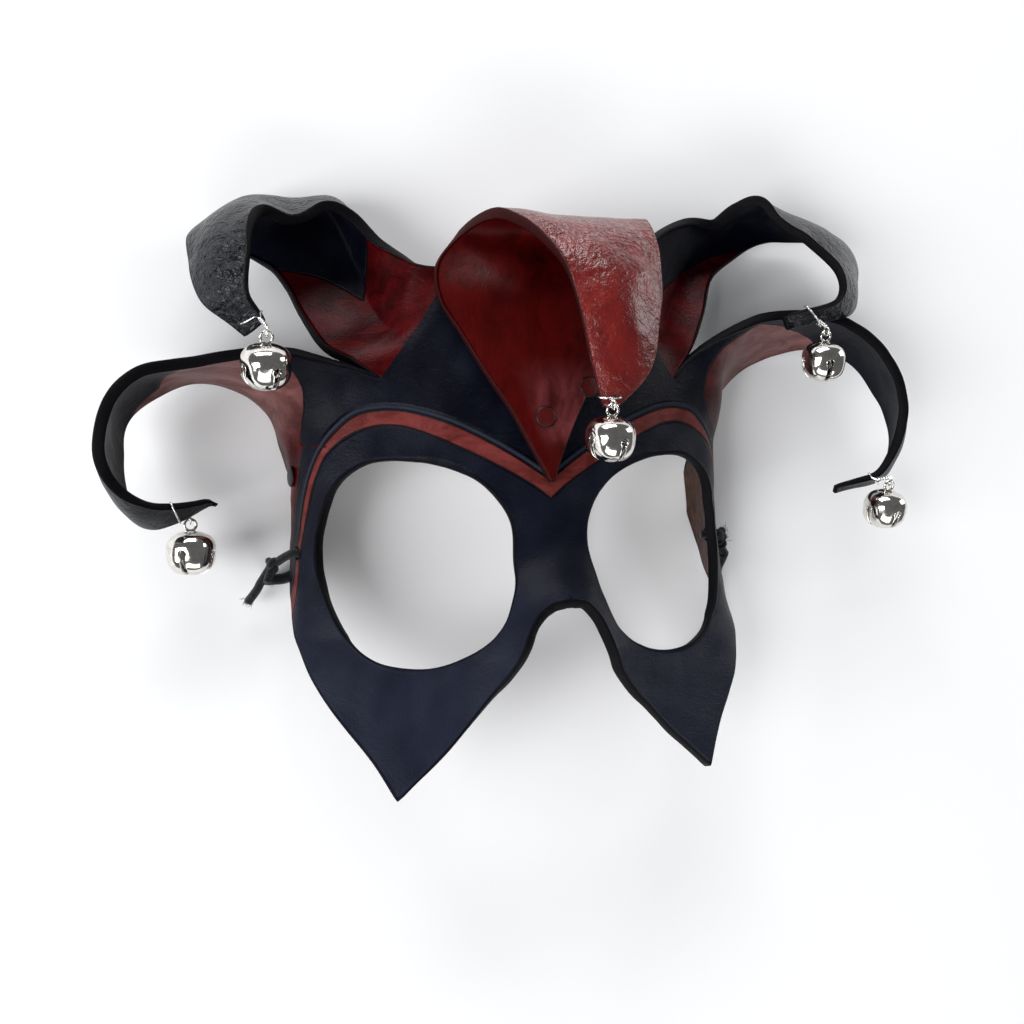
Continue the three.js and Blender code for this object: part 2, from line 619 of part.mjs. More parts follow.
function headCord() {
  tieEnd('left_tie_end', -1, leftKnot, [leftTail, leftStub]);
  tieEnd('right_tie_end', 1, rightKnot, [rightTail, rightStub]);
  addPiece('head_cord_left', tubeAlong(leftRun, cordRadius, cordSides, 16), colour.cord);
  addPiece('head_cord_right', tubeAlong(rightRun, cordRadius, cordSides, 22), colour.cord);
  const halfWidth = coilTurns * cordRadius;
  const profile = [[-halfWidth, 0], [halfWidth, 0], [halfWidth, 2 * cordRadius],
    [-halfWidth, 2 * cordRadius], [-halfWidth, 0]];
  const ring = new THREE.LatheGeometry(
    profile.map(([radius, level]) => new THREE.Vector2(coilMeanRadius + radius, level)), coilSides);
  ring.rotateX(Math.PI / 2).translate(...coilCentre, 0);
  addPiece('head_cord_coil', toGeometry(toSolid(ring)), colour.cord);
}

const strips = leatherMask();
strips.push(centreHornPiece());
centreRivets.forEach(([across, height], index) => {
  const name = index === 0 ? 'lower_centre_rivet' : 'upper_centre_rivet';
  rivet(name, across, height, leatherThickness + leafGap, colour.red);
});
rivet('left_temple_rivet', -templeRivet[0], templeRivet[1], 0, colour.black);
rivet('right_temple_rivet', templeRivet[0], templeRivet[1], 0, colour.black);
bells.forEach(({ name, strip, centre }) => {
  jingleBell(name, centre);
  bellWire(name, strips[strip], centre);
});
headCord();

mask.position.set(-boxCentre[0], -boxCentre[1], 0);

export default mask;
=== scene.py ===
import bpy
import numpy as np
from mathutils import Matrix, Vector


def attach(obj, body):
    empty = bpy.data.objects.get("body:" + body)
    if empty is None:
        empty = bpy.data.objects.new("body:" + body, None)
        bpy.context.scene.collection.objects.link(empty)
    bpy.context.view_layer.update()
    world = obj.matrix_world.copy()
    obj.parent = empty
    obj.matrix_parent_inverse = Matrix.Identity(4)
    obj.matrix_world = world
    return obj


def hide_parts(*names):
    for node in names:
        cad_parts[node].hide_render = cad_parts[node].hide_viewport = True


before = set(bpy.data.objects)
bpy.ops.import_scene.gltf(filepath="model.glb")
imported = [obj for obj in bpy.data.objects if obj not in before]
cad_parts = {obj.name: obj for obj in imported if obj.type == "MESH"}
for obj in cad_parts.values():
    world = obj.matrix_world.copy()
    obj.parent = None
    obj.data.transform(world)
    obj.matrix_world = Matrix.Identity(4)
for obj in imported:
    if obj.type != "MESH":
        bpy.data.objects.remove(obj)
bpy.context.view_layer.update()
print("Frame loaded")

# Shapes are worked out in millimetres from the bottom of the brow's middle line,
# and toFrame moves them to the frame, where the mask's box is centred on the origin.
boxShift = np.array([5.8, 3.0, 0.0])


def toFrame(points):
    # millimetres less the shift, in metres
    return (np.asarray(points, float) - boxShift) / 1000


def unit(vectors):
    # each vector divided by its own length
    return vectors / np.maximum(np.linalg.norm(vectors, axis=-1, keepdims=True), 1e-9)


def blendStep(values, low, high):
    # 0 below low and 1 above high, with a soft turn at both ends: 3t² - 2t³
    share = np.clip((values - low) / (high - low), 0, 1)
    return share * share * (3 - 2 * share)


def around(turn, first, second):
    # Places on a circle: the cosine of the turn along the first direction and its sine along the second
    return np.cos(turn)[..., None] * first + np.sin(turn)[..., None] * second


def curveThrough(points, share):
    # A cubic between each two points, whose slope at a point is half the step between its neighbours
    knots = np.asarray(points, float).reshape(len(points), -1)
    knots = np.vstack([2 * knots[:1] - knots[1:2], knots, 2 * knots[-1:] - knots[-2:-1]])
    place = np.clip(np.asarray(share, float), 0, 1) * (len(points) - 1)
    index = np.minimum(place.astype(int), len(points) - 2)
    t = (place - index)[:, None]
    a, b, c, d = (knots[index + step] for step in range(4))
    return b + 0.5 * t * (c - a + t * (2 * a - 5 * b + 4 * c - d + t * (3 * b - a - 3 * c + d)))


def directionAlong(lines, share, step=0.01):
    # The lines' directions added up, each from a step before the share to a step after it
    ahead, behind = np.minimum(share + step, 1), np.maximum(share - step, 0)
    return sum(curveThrough(line, ahead) - curveThrough(line, behind) for line in lines)


def softWaves(points, size, seed, waves=26):
    # Sine waves of about one size in random directions, added up. The sum grows with the root of their
    # number, so it is divided by seven eighths of that and comes out mostly between -1 and 1.
    chance = np.random.default_rng(seed)
    directions = unit(chance.normal(size=(waves, points.shape[-1])))
    lengths = size * chance.uniform(0.6, 1.7, waves)
    phases = chance.uniform(0, 2 * np.pi, waves)
    total = np.sin(points @ (directions / lengths[:, None] * 2 * np.pi).T + phases).sum(-1)
    return total * 8 / 7 / waves ** 0.5


# Camera at the photograph's angle: pixels for the image, millimetres for places, degrees for turns. Only
# the clip start is in metres.
cameraView = {
    "focal": 1230, "imageSize": 1024, "distance": 330, "yaw": 19, "roll": -2.2,
    "target": (0, 0, 39), "targetPixel": (549.5, 488), "sensorWidth": 36, "clipStart": 0.01,
}


def makeCamera():
    # The camera stands back from the target and moves aside, so that the target is seen at its pixel
    yaw, roll = np.radians([cameraView["yaw"], cameraView["roll"]])
    back = np.array([-np.sin(yaw), 0, np.cos(yaw)])
    level = np.array([np.cos(yaw), 0, np.sin(yaw)])
    up = np.cross(back, level)
    right = np.cos(roll) * level + np.sin(roll) * up
    above = np.cos(roll) * up - np.sin(roll) * level
    half = cameraView["imageSize"] / 2
    scale = cameraView["distance"] / cameraView["focal"]
    place = np.array(cameraView["target"]) + cameraView["distance"] * back
    place = place - right * (cameraView["targetPixel"][0] - half) * scale
    place = place + above * (cameraView["targetPixel"][1] - half) * scale
    data = bpy.data.cameras.new("Camera")
    data.sensor_width = cameraView["sensorWidth"]
    data.lens = cameraView["sensorWidth"] * cameraView["focal"] / cameraView["imageSize"]
    data.clip_start = cameraView["clipStart"]
    camera = bpy.data.objects.new("Camera", data)
    bpy.context.scene.collection.objects.link(camera)
    turn = Matrix(np.stack([right, above, back], 1).tolist()).to_4x4()
    camera.matrix_world = Matrix.Translation(Vector(toFrame(place))) @ turn
    bpy.context.scene.camera = camera


makeCamera()
print("Camera placed")


class Socket:
    # A shader node's output. Arithmetic on it adds Math nodes, and node() adds any other kind.
    def __init__(self, tree, output=None):
        self.tree = tree
        self.output = output

    def node(self, kind, settings=None, values=None, output=0):
        made = self.tree.nodes.new("ShaderNode" + kind)
        for label, setting in (settings or {}).items():
            setattr(made, label, setting)
        for label, value in (values or {}).items():
            if isinstance(value, Socket):
                self.tree.links.new(value.output, made.inputs[label])
            else:
                made.inputs[label].default_value = value
        return Socket(self.tree, made.outputs[output])

    def math(self, operation, *terms):
        return self.node("Math", {"operation": operation}, dict(enumerate(terms)))

    def __add__(self, other):
        return self.math("ADD", self, other)

    def __radd__(self, other):
        return self.math("ADD", other, self)

    def __sub__(self, other):
        return self.math("SUBTRACT", self, other)

    def __rsub__(self, other):
        return self.math("SUBTRACT", other, self)

    def __mul__(self, other):
        return self.math("MULTIPLY", self, other)

    def __rmul__(self, other):
        return self.math("MULTIPLY", other, self)

    def __abs__(self):
        return self.math("ABSOLUTE", self)

    def most(self, other):
        return self.math("MAXIMUM", self, other)

    def rise(self, low, high):
        # 0 below low, 1 above high, softly between
        return self.node("MapRange", {"interpolation_type": "SMOOTHSTEP"},
                         {"Value": self, "From Min": low, "From Max": high})

    def near(self, full, gone):
        # 1 within full of zero, 0 further off than gone
        return 1 - abs(self).rise(full, gone)

    def swing(self, amount):
        # A noise turned to a height above and below zero
        return (self - 0.5) * amount

    def mixed(self, first, second):
        # A colour between two colours, by this number
        return self.node("Mix", {"data_type": "RGBA"}, {0: self, 6: first, 7: second}, 2)

    def stretched(self, x, y, z):
        return self.node("VectorMath", {"operation": "MULTIPLY"}, {0: self, 1: (x, y, z)})

    def noise(self, size, detail=3.0, rough=0.55, bend=0.0):
        # Noise between 0 and 1 over a place in millimetres, with lumps of this size
        return self.node("TexNoise", None, {"Vector": self, "Scale": 1 / size, "Detail": detail,
                                            "Roughness": rough, "Distortion": bend})

    def cells(self, size):
        return self.node("TexVoronoi", None, {"Vector": self, "Scale": 1 / size})


def setInputs(shader, fixed):
    for label, value in fixed.items():
        shader.inputs[label].default_value = value


def startFinish(name, fixed):
    # A material with its constants set on the shader, and the place on the piece in millimetres
    finish = bpy.data.materials.new(name)
    finish.use_nodes = True
    shader = finish.node_tree.nodes["Principled BSDF"]
    setInputs(shader, fixed)
    start = Socket(finish.node_tree)
    place = start.node("TexCoord", output="Object").stretched(1000, 1000, 1000)
    return finish, start, place, shader


def addShader(finish, first, share, fixed):
    # A second shader with its own constants, mixed in by share
    nodes, links = finish.node_tree.nodes, finish.node_tree.links
    second, mix = nodes.new("ShaderNodeBsdfPrincipled"), nodes.new("ShaderNodeMixShader")
    setInputs(second, fixed)
    links.new(share.output, mix.inputs[0])
    links.new(first.outputs[0], mix.inputs[1])
    links.new(second.outputs[0], mix.inputs[2])
    links.new(mix.outputs[0], nodes["Material Output"].inputs["Surface"])
    return second


def connect(start, shader, colour, roughness, height):
    # The height in millimetres goes through a Bump node, the other two go straight to the shader
    bump = start.node("Bump", None, {"Strength": 1.0, "Distance": 0.001, "Height": height})
    for source, label in ((colour, "Base Color"), (roughness, "Roughness"), (bump, "Normal")):
        start.tree.links.new(source.output, shader.inputs[label])


def measured(start, *labels):
    # Numbers that the mesh carries at its points
    return [start.node("Attribute", {"attribute_name": label}, output="Fac") for label in labels]


def leatherSides(start):
    # Depth is 0 on the smooth side and 1 on the rough side, and wall is 1 on the cut edge. The rough side's
    # mask is 1 where the depth is full and there is no wall.
    depth, wall = measured(start, "depth", "wall")
    return depth, wall, depth.rise(0.9, 0.99) * (1 - wall.rise(0.4, 0.8))


leatherColours = {
    "navy": (0.0014, 0.0018, 0.0052, 1), "slate": (0.0110, 0.0130, 0.0250, 1),
    "oxblood": (0.060, 0.0016, 0.0026, 1), "oxbloodDeep": (0.020, 0.0004, 0.0008, 1),
    "stripeRed": (0.150, 0.030, 0.028, 1), "stripeDeep": (0.070, 0.010, 0.008, 1),
    "rosySheen": (0.200, 0.092, 0.088, 1), "rosySheenDeep": (0.095, 0.032, 0.030, 1),
    "bevelHighlight": (0.022, 0.028, 0.045, 1), "cutEdge": (0.0014, 0.0013, 0.0024, 1),
    "rough": (0.0018, 0.0022, 0.0045, 1), "roughWorn": (0.012, 0.0150, 0.0250, 1),
    "rawBrown": (0.075, 0.028, 0.018, 1), "rawDark": (0.022, 0.008, 0.006, 1),
}
centreColours = {
    "hood": (0.062, 0.0014, 0.0014, 1), "hoodDeep": (0.026, 0.0005, 0.0006, 1),
    "roll": (0.160, 0.0070, 0.0040, 1), "rollDeep": (0.080, 0.0016, 0.0016, 1),
    "foldHighlight": (0.40, 0.23, 0.23, 1), "hoodHighlightRed": (0.160, 0.038, 0.042, 1),
    "wear": (0.012, 0.001, 0.001, 1), "cutEdge": (0.026, 0.0040, 0.0040, 1), "tan": (0.30, 0.12, 0.07, 1),
}


def paintedLeather():
    # Navy-black leather with red paint, tooled lines beside the paint, burnished cut edges, and a
    # fibrous rough side. Painted light: sheen on the cheeks and lower horns, shade and highlight at the
    # tooling
    look = leatherColours
    finish, start, place, shader = startFinish("paintedLeather", {"Specular IOR Level": 0.08})
    stripeLow, stripeHigh, paint = measured(start, "stripeLow", "stripeHigh", "paint")
    rosySheen, raw, upper = measured(start, "rosySheen", "raw", "upper")
    depth, wall, roughSide = leatherSides(start)
    smooth = (1 - depth.rise(0.02, 0.12)) * (1 - wall.rise(0.2, 0.6))
    broad = place.noise(17, 2)
    fine = place.noise(0.42, 4, 0.6)
    pores = place.cells(0.75)
    brush = place.stretched(0.22, 1.0, 0.8).noise(0.55, 3, 0.6)
    strokes = place.stretched(0.5, 1.0, 1.0).noise(6, 4, 0.65, 0.6)
    wear = place.noise(2.3, 6, 0.72)
    fibres = place.stretched(1.0, 0.45, 1.0).noise(1.4, 7, 0.7, 0.5)
    wrinkle = place.noise(3.0, 3, 0.55, 1.0)
    # Where the paint lies, with a wavering edge
    waver = place.noise(1.1, 3).swing(0.35)
    stripe = (stripeLow + waver).rise(0.05, 0.28) * (1 - (stripeHigh + waver).rise(-0.28, -0.05))
    zone = (paint + waver).rise(-0.1, 0.15)
    red = stripe.most(zone) * smooth
    # The black is paler on the cheeks and just under the stripe, a painted sheen, and streaked by the brush
    level = place.node("SeparateXYZ", None, {0: place}, 1)
    paintedSheen = (1 - level.rise(-62, -18)) * 0.75 + (1 - stripeHigh.rise(-2, 1)) * 0.3
    black = (broad.rise(0.35, 0.8) * 0.35 + paintedSheen * (0.45 + broad * 0.7)).mixed(look["navy"], look["slate"])
    black = (brush.rise(0.5, 0.85) * 0.5).mixed(black, look["slate"])
    oxblood = strokes.rise(0.3, 0.7).mixed(look["oxbloodDeep"], look["oxblood"])
    # The lower horns' red turns rosy along the strip: a painted sheen
    rosySheenRed = strokes.rise(0.3, 0.75).mixed(look["rosySheenDeep"], look["rosySheen"])
    striped = strokes.rise(0.3, 0.7).mixed(look["stripeDeep"], look["stripeRed"])
    painted = rosySheen.rise(0.0, 1.0).mixed(oxblood, rosySheenRed)
    painted = (stripe * (1 - zone)).mixed(painted, striped)
    painted = (wear.rise(0.66, 0.74) * 0.55).mixed(painted, look["cutEdge"])
    top = red.mixed(black, painted)
    # A painted highlight along the bevel just above the stripe
    highlightLine = (stripeHigh - 0.75).near(0.15, 0.75) * smooth
    top = (highlightLine * 0.7).mixed(top, look["bevelHighlight"])
    # Painted shade in the tooled grooves along the stripe's edges
    grooveShade = (stripeLow - 0.1).near(0.1, 0.6).most((stripeHigh + 0.1).near(0.1, 0.5)) * smooth
    top = (grooveShade * 0.8).mixed(top, look["cutEdge"])
    under = (fibres.rise(0.42, 0.72) * (0.35 + broad * 0.5)).mixed(look["rough"], look["roughWorn"])
    under = raw.mixed(under, fibres.rise(0.35, 0.7).mixed(look["rawDark"], look["rawBrown"]))
    colour = wall.rise(0.25, 0.75).mixed(roughSide.mixed(top, under), look["cutEdge"])
    # Heights in millimetres: grain and tooled lines, then wrinkles on the rough side, then the cut edge
    tooled = stripeLow.near(0.05, 0.55) + stripeHigh.near(0.05, 0.55) + (paint + 0.15).near(0.05, 0.5) * 0.8
    lip = (stripeHigh - 1.1).near(0.1, 1.0) * 0.35
    height = fine.swing(0.09) + brush.swing(0.09) + pores * 0.04 + strokes.swing(0.18)
    height = (height - tooled * 0.42 + lip) * smooth
    height = height + roughSide * (wrinkle.swing(0.4 + upper * 1.1) + fibres.swing(0.15) + fine * 0.05)
    height = height + wall * place.noise(0.9, 5, 0.7).swing(0.22)
    roughness = 0.40 + broad.swing(0.16) + fine.swing(0.1) - red * 0.06
    roughness = roughness - roughSide * (upper * 0.14) + wall * 0.12
    underside = addShader(finish, shader, roughSide, {"Specular IOR Level": 0.27})
    connect(start, shader, colour, roughness, height)
    connect(start, underside, colour, roughness, height)
    return finish


def redLeather():
    # The centre horn: smooth oxblood inside its hood, glossy and pebbled on the rough side
    look = centreColours
    finish, start, place, shader = startFinish("redLeather", {"Specular IOR Level": 0.09})
    depth, wall, roughSide = leatherSides(start)
    across, station = measured(start, "across", "station")
    strokes = place.stretched(1.0, 0.55, 1.0).noise(7, 4, 0.62, 0.5)
    fine = place.noise(0.4, 4, 0.6)
    wear = place.noise(2.0, 6, 0.75)
    pebbles = place.noise(1.3, 2, 0.5, 0.6)
    crumbs = place.noise(1.15, 2, 0.5, 0.3)
    hood = strokes.rise(0.25, 0.75).mixed(look["hoodDeep"], look["hood"])
    roll = strokes.rise(0.25, 0.75).mixed(look["rollDeep"], look["roll"])
    # Painted highlights: pale pink on top of the fold, and a lighter red inside the hood's right half
    fold = roughSide * station.rise(6.6, 7.6) * (1 - station.rise(9.2, 11.0))
    hoodHighlight = (1 - roughSide) * station.rise(0.9, 1.8) * (1 - station.rise(2.3, 3.6)) * across.rise(0.2, 0.6)
    colour = roughSide.mixed(hood, roll)
    colour = (fold * crumbs.rise(0.48, 0.66) * 0.4).mixed(colour, look["foldHighlight"])
    colour = (hoodHighlight * 0.85 * strokes.rise(0.15, 0.7)).mixed(colour, look["hoodHighlightRed"])
    colour = (wear.rise(0.67, 0.75) * 0.5).mixed(colour, look["wear"])
    tanLine = wall * across.rise(0.5, 0.7) * depth.rise(0.45, 0.9) * wear.rise(0.35, 0.6)
    edge = (tanLine * 0.75).mixed(look["cutEdge"], look["tan"])
    colour = wall.rise(0.25, 0.75).mixed(colour, edge)
    height = fine.swing(0.05) + strokes.swing(0.25)
    height = height + roughSide * (pebbles.swing(0.27) + place.noise(14, 2).swing(2))
    height = height + fold * crumbs.swing(0.5) + wall * place.noise(0.8, 5, 0.7).swing(0.2)
    roughness = 0.38 + strokes.swing(0.1) + fine.swing(0.08) - roughSide * 0.06 - fold * 0.14 + wall * 0.15
    underside = addShader(finish, shader, roughSide, {"Specular IOR Level": 0.6})
    connect(start, shader, colour, roughness, height)
    connect(start, underside, colour, roughness, height)
    return finish


def polishedNickel(name, colour, roughness, shade=0.72):
    # Polished metal with faint smears, darker by the shade, and hairline scratches
    finish, start, place, shader = startFinish(name, {"Metallic": 1.0})
    smears = place.noise(1.8, 4, 0.6, 0.4)
    scratches = place.stretched(0.3, 3.0, 1.0).noise(0.35, 3, 0.6)
    dull = tuple(shade * part for part in colour[:3]) + (1,)
    tint = smears.rise(0.35, 0.75).mixed(colour, dull)
    worn = roughness + smears.rise(0.4, 0.8) * 0.12 + scratches.rise(0.6, 0.8) * 0.05
    connect(start, shader, tint, worn, smears.swing(0.02))
    return finish


def paintedRivet(name, colour, deep):
    # Paint over a metal head, with painted shade in a ring where the head meets the leather
    finish, start, place, shader = startFinish(name, {"Specular IOR Level": 0.25})
    fine = place.noise(0.5, 4, 0.65)
    # The dark ring at the head's edge is painted shade
    ring = measured(start, "outward")[0].rise(2.3, 2.7)
    tint = ring.mixed(fine.rise(0.3, 0.75).mixed(deep, colour), (0.004, 0.0008, 0.001, 1))
    connect(start, shader, tint, 0.42 + fine.swing(0.2), fine.swing(0.05))
    return finish


def suedeCord(name, colour, deep):
    # Suede: short fibres in every direction, slightly blue where the light brushes it
    finish, start, place, shader = startFinish(
        name, {"Specular IOR Level": 0.2, "Sheen Weight": 0.25, "Sheen Roughness": 0.4})
    fuzz = place.noise(0.35, 6, 0.75, 0.8)
    tint = fuzz.rise(0.35, 0.75).mixed(deep, colour)
    connect(start, shader, tint, 0.9 + fuzz.swing(0.1), fuzz.swing(0.4))
    return finish


finishes = {
    "paintedLeather": paintedLeather(),
    "redLeather": redLeather(),
    "nickel": polishedNickel("nickel", (0.82, 0.79, 0.74, 1), 0.09),
    "pelletSteel": polishedNickel("pelletSteel", (0.42, 0.39, 0.36, 1), 0.3),
    "silverWire": polishedNickel("silverWire", (0.86, 0.86, 0.85, 1), 0.2),
    "redRivet": paintedRivet("redRivet", (0.080, 0.0022, 0.0022, 1), (0.040, 0.0010, 0.0010, 1)),
    "blackRivet": paintedRivet("blackRivet", (0.012, 0.014, 0.018, 1), (0.004, 0.005, 0.008, 1)),
    "blackSuede": suedeCord("blackSuede", (0.014, 0.020, 0.026, 1), (0.0022, 0.0026, 0.0040, 1)),
}
print("Finishes ready")


def putMesh(name, points, faces, material, numbers=None):
    # points in millimetres, faces as arrays of corner numbers, numbers as one value a point for each name
    mesh = bpy.data.meshes.new(name)
    mesh.from_pydata(toFrame(points).tolist(), [], [face for group in faces for face in group.tolist()])
    mesh.polygons.foreach_set("use_smooth", np.ones(len(mesh.polygons), bool))
    for label, values in (numbers or {}).items():
        layer = mesh.attributes.new(label, "FLOAT", "POINT")
        layer.data.foreach_set("value", np.asarray(values, np.float32))
    mesh.materials.append(material)
    mesh.update()
    piece = bpy.data.objects.new(name, mesh)
    bpy.context.scene.collection.objects.link(piece)
    return piece


def gridFaces(index):
    # Squares between neighbouring rows and columns of a grid of point numbers
    return np.stack([index[:-1, :-1], index[1:, :-1], index[1:, 1:], index[:-1, 1:]], -1).reshape(-1, 4)


def tube(path, radius, sides=10, closed=False):
    # A circle carried along the path. The frame turns with the path and never spins about it. On a closed
    # path, the turn that is missing at its end is spread along it.
    path = np.asarray(path, float)
    radius = np.broadcast_to(np.asarray(radius, float), len(path))
    if closed:
        along = unit(np.roll(path, -1, 0) - np.roll(path, 1, 0))
    else:
        along = unit(np.gradient(path, axis=0))
    side = np.zeros_like(path)
    first = np.eye(3)[np.argmin(np.abs(along[0]))]
    side[0] = unit(first - along[0] * (first @ along[0]))
    for step in range(1, len(path)):
        carried = side[step - 1] - along[step] * (side[step - 1] @ along[step])
        side[step] = unit(carried)
    angle = np.linspace(0, 2 * np.pi, sides, endpoint=False)
    if closed:
        carried = unit(side[-1] - along[0] * (side[-1] @ along[0]))
        twist = np.arctan2(np.cross(carried, side[0]) @ along[0], carried @ side[0])
        turn = np.linspace(0, twist, len(path))[:, None]
    else:
        turn = np.zeros((len(path), 1))
    other = np.cross(along, side)
    circles = around(angle + turn, side[:, None], other[:, None]) * radius[:, None, None]
    points = (path[:, None] + circles).reshape(-1, 3)
    index = np.arange(len(points)).reshape(len(path), sides)
    index = np.hstack([index, index[:, :1]])
    if closed:
        index = np.vstack([index, index[:1]])
    faces = [gridFaces(index)[:, ::-1]]
    if not closed:
        faces += [index[:1, :-1][:, ::-1], index[-1:, :-1]]
    return points, faces


def lathe(profile, sides):
    # The profile's distances and levels, turned about Z; ends on the axis are one point each
    profile = np.asarray(profile, float)
    turn = np.linspace(0, 2 * np.pi, sides, endpoint=False)
    rings = profile[1:-1]
    grid = np.stack([rings[:, :1] * np.cos(turn), rings[:, :1] * np.sin(turn),
                     np.repeat(rings[:, 1:], sides, 1)], -1)
    index = np.arange(len(rings) * sides).reshape(len(rings), sides)
    index = np.hstack([index, index[:, :1]])
    points = np.vstack([grid.reshape(-1, 3), [[0, 0, profile[0, 1]], [0, 0, profile[-1, 1]]]])
    low = np.stack([np.full(sides, len(points) - 2), index[0, 1:], index[0, :-1]], 1)
    high = np.stack([np.full(sides, len(points) - 1), index[-1, :-1], index[-1, 1:]], 1)
    return points, [gridFaces(index)[:, ::-1], low, high]


def joined(parts):
    # Several (points, faces) pairs as one
    points, faces, start = [], [], 0
    for partPoints, partFaces in parts:
        points.append(partPoints)
        faces += [group + start for group in partFaces]
        start += len(partPoints)
    return np.vstack(points), faces


# The head cord: from the left knot to a coil of two turns below the forehead, and on to the right knot. The
# coil's turns are in half circles: where it starts and ends, and where its radius shrinks by one cord.
headCord = {
    "radius": 1.5, "sides": 12, "height": 1.65, "coilCentre": (8, 33), "coilRadii": (18, 15),
    "coilTurns": (-0.5, 3.42), "shrinkTurns": (1.1, 1.9), "coilSteps": 96, "points": 480,
    "left": [(-71.5, -21.2, 5.6), (-71.2, -22.2, 3), (-69, -22.3, 1.65), (-65.5, -22, 1.65),
             (-61.5, -19.5, 1.65), (-58.4, -14, 1.65), (-57.6, -4, 1.65), (-56.4, 8, 1.65),
             (-50, 17, 1.65), (-36, 21, 1.65), (-22, 20, 1.65), (-10, 16.6, 1.65)],
    "right": [(20.6, 8.8, 1.65), (22.3, 3, 1.65), (22.3, -4, 1.65), (21, -12, 1.65), (20.5, -20, 1.65),
              (22.5, -28, 1.65), (26.3, -36, 1.65), (29.5, -42, 1.65), (33, -48, 1.65), (40, -54.5, 1.65),
              (50, -57, 1.65), (60, -54.5, 1.65), (66.5, -48, 1.65), (68.8, -41, 1.65), (69, -35, 1.65),
              (69, -30, 1.65), (69.8, -26, 1.65), (70.6, -23.2, 3), (70.2, -21.2, 5.4)],
    "hump": [(6.5, 16.9, 3.2), (11.8, 15.4, 4.75), (16.8, 12.8, 3.4)],
}


def cordPath():
    # A run, two turns whose radius shrinks by one cord between them, a hump over the outer turn, a run
    turn = np.linspace(*[np.pi * end for end in headCord["coilTurns"]], headCord["coilSteps"])
    share = blendStep(turn, *[np.pi * end for end in headCord["shrinkTurns"]])
    outer, inner = headCord["coilRadii"]
    radius = outer + (inner - outer) * share
    coil = np.stack([headCord["coilCentre"][0] + radius * np.cos(turn),
                     headCord["coilCentre"][1] + radius * np.sin(turn),
                     np.full(len(turn), headCord["height"])], 1)
    knots = np.vstack([headCord["left"], coil[2:], headCord["hump"], headCord["right"]])
    path = curveThrough(knots, np.linspace(0, 1, 8 * len(knots)))
    steps = np.concatenate([[0], np.cumsum(np.linalg.norm(np.diff(path, axis=0), axis=1))])
    even = np.linspace(0, steps[-1], headCord["points"])
    return np.stack([np.interp(even, steps, path[:, axis]) for axis in range(3)], 1), steps[-1]


cordPoints, cordLength = cordPath()
cordTube = tube(cordPoints, headCord["radius"], headCord["sides"])
cordPiece = putMesh("headCord", *cordTube, finishes["blackSuede"])
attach(cordPiece, "root")
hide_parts("head_cord_left", "head_cord_coil", "head_cord_right")
print("Cord laid,", round(cordLength), "mm")

# The face, cut from one piece of leather with the four side horns
leather = {
    "thickness": 3.0, "browHeight": 39, "browRadius": 112, "browHalfArc": 54.5, "templeRadius": 22,
    "templeTurn": 1.745, "foreheadStart": 5, "foreheadLean": 0.0022, "foreheadWidth": 60,
    "bridgeWidth": 13.5, "bridgeHeight": 1, "bridgeEnd": 30,
    "bridgeGrowth": 24, "bridgeGrowthSpan": (14, 44), "cheekFlare": 5, "cheekRise": 1.5,
    "cheekFlareAt": -52, "cheekFlareLength": 22, "cheekFlareArc": (40, 70),
    "cheekLiftStart": -38, "cheekLift": 0.24,
    # the eye opening's radius at even turns, from pointing sideways to the outside and upwards from there
    "eyeCentre": (37.4, -19),
    "eyeRadii": [26.8, 28.2, 29.6, 29.3, 27.3, 27.1, 28, 28, 26.3, 26, 27.5, 27.2, 27.1, 26.8, 25, 24.5],
    "rings": 25, "hornRows": 112, "edgeBulge": 0.55, "edgeSteps": 7, "tipThickness": 0.5, "thinFrom": 0.8,
    "cordHole": (73, -15), "cordHoleRadius": 2, "relaxRounds": 70,
    # the leather's unevenness, as wave size, seed and height
    "waves": [(22, 3, 0.22), (9, 4, 0.1)],
    # how much a horn's root is smoothed, and how far that reaches on the face and on the horn
    "rootBlend": {"rootLower": (1, 7, 8), "rootUpper": (0.6, 2.5, 2.5)},
    # over how many stations a horn follows its root, and its red turns rosy with a painted sheen
    "followStations": 1.5, "rosySheenStations": 2.5,
    # how far across the painted wedge begins, and the distance that stands for no paint near
    "wedgeFrom": 60, "farOff": 9.0,
}
# Outer edge of one half of the face: name, points by distance across and height on the face, steps
faceEdge = [
    ("rootLower", [(85.5, 4), (43.5, 30.5)], 52),
    ("rootUpper", [(43.5, 30.5), (22, 60)], 42),
    ("top", [(22, 60), (0, 54)], 24),
    ("middle", [(0, 54), (0, -29)], 88),
    ("nose", [(0, -29), (5, -30.5), (9.2, -34.8), (14.2, -46), (19.8, -53.7), (31, -66),
              (46.2, -79.2)], 72),
    ("cheek", [(46.2, -79.2), (51.1, -69.3), (60.6, -53.9), (69.1, -39.5), (77, -28), (82, -17),
               (85.5, -8)], 84),
    ("temple", [(85.5, -8), (85.5, 4)], 12),
]
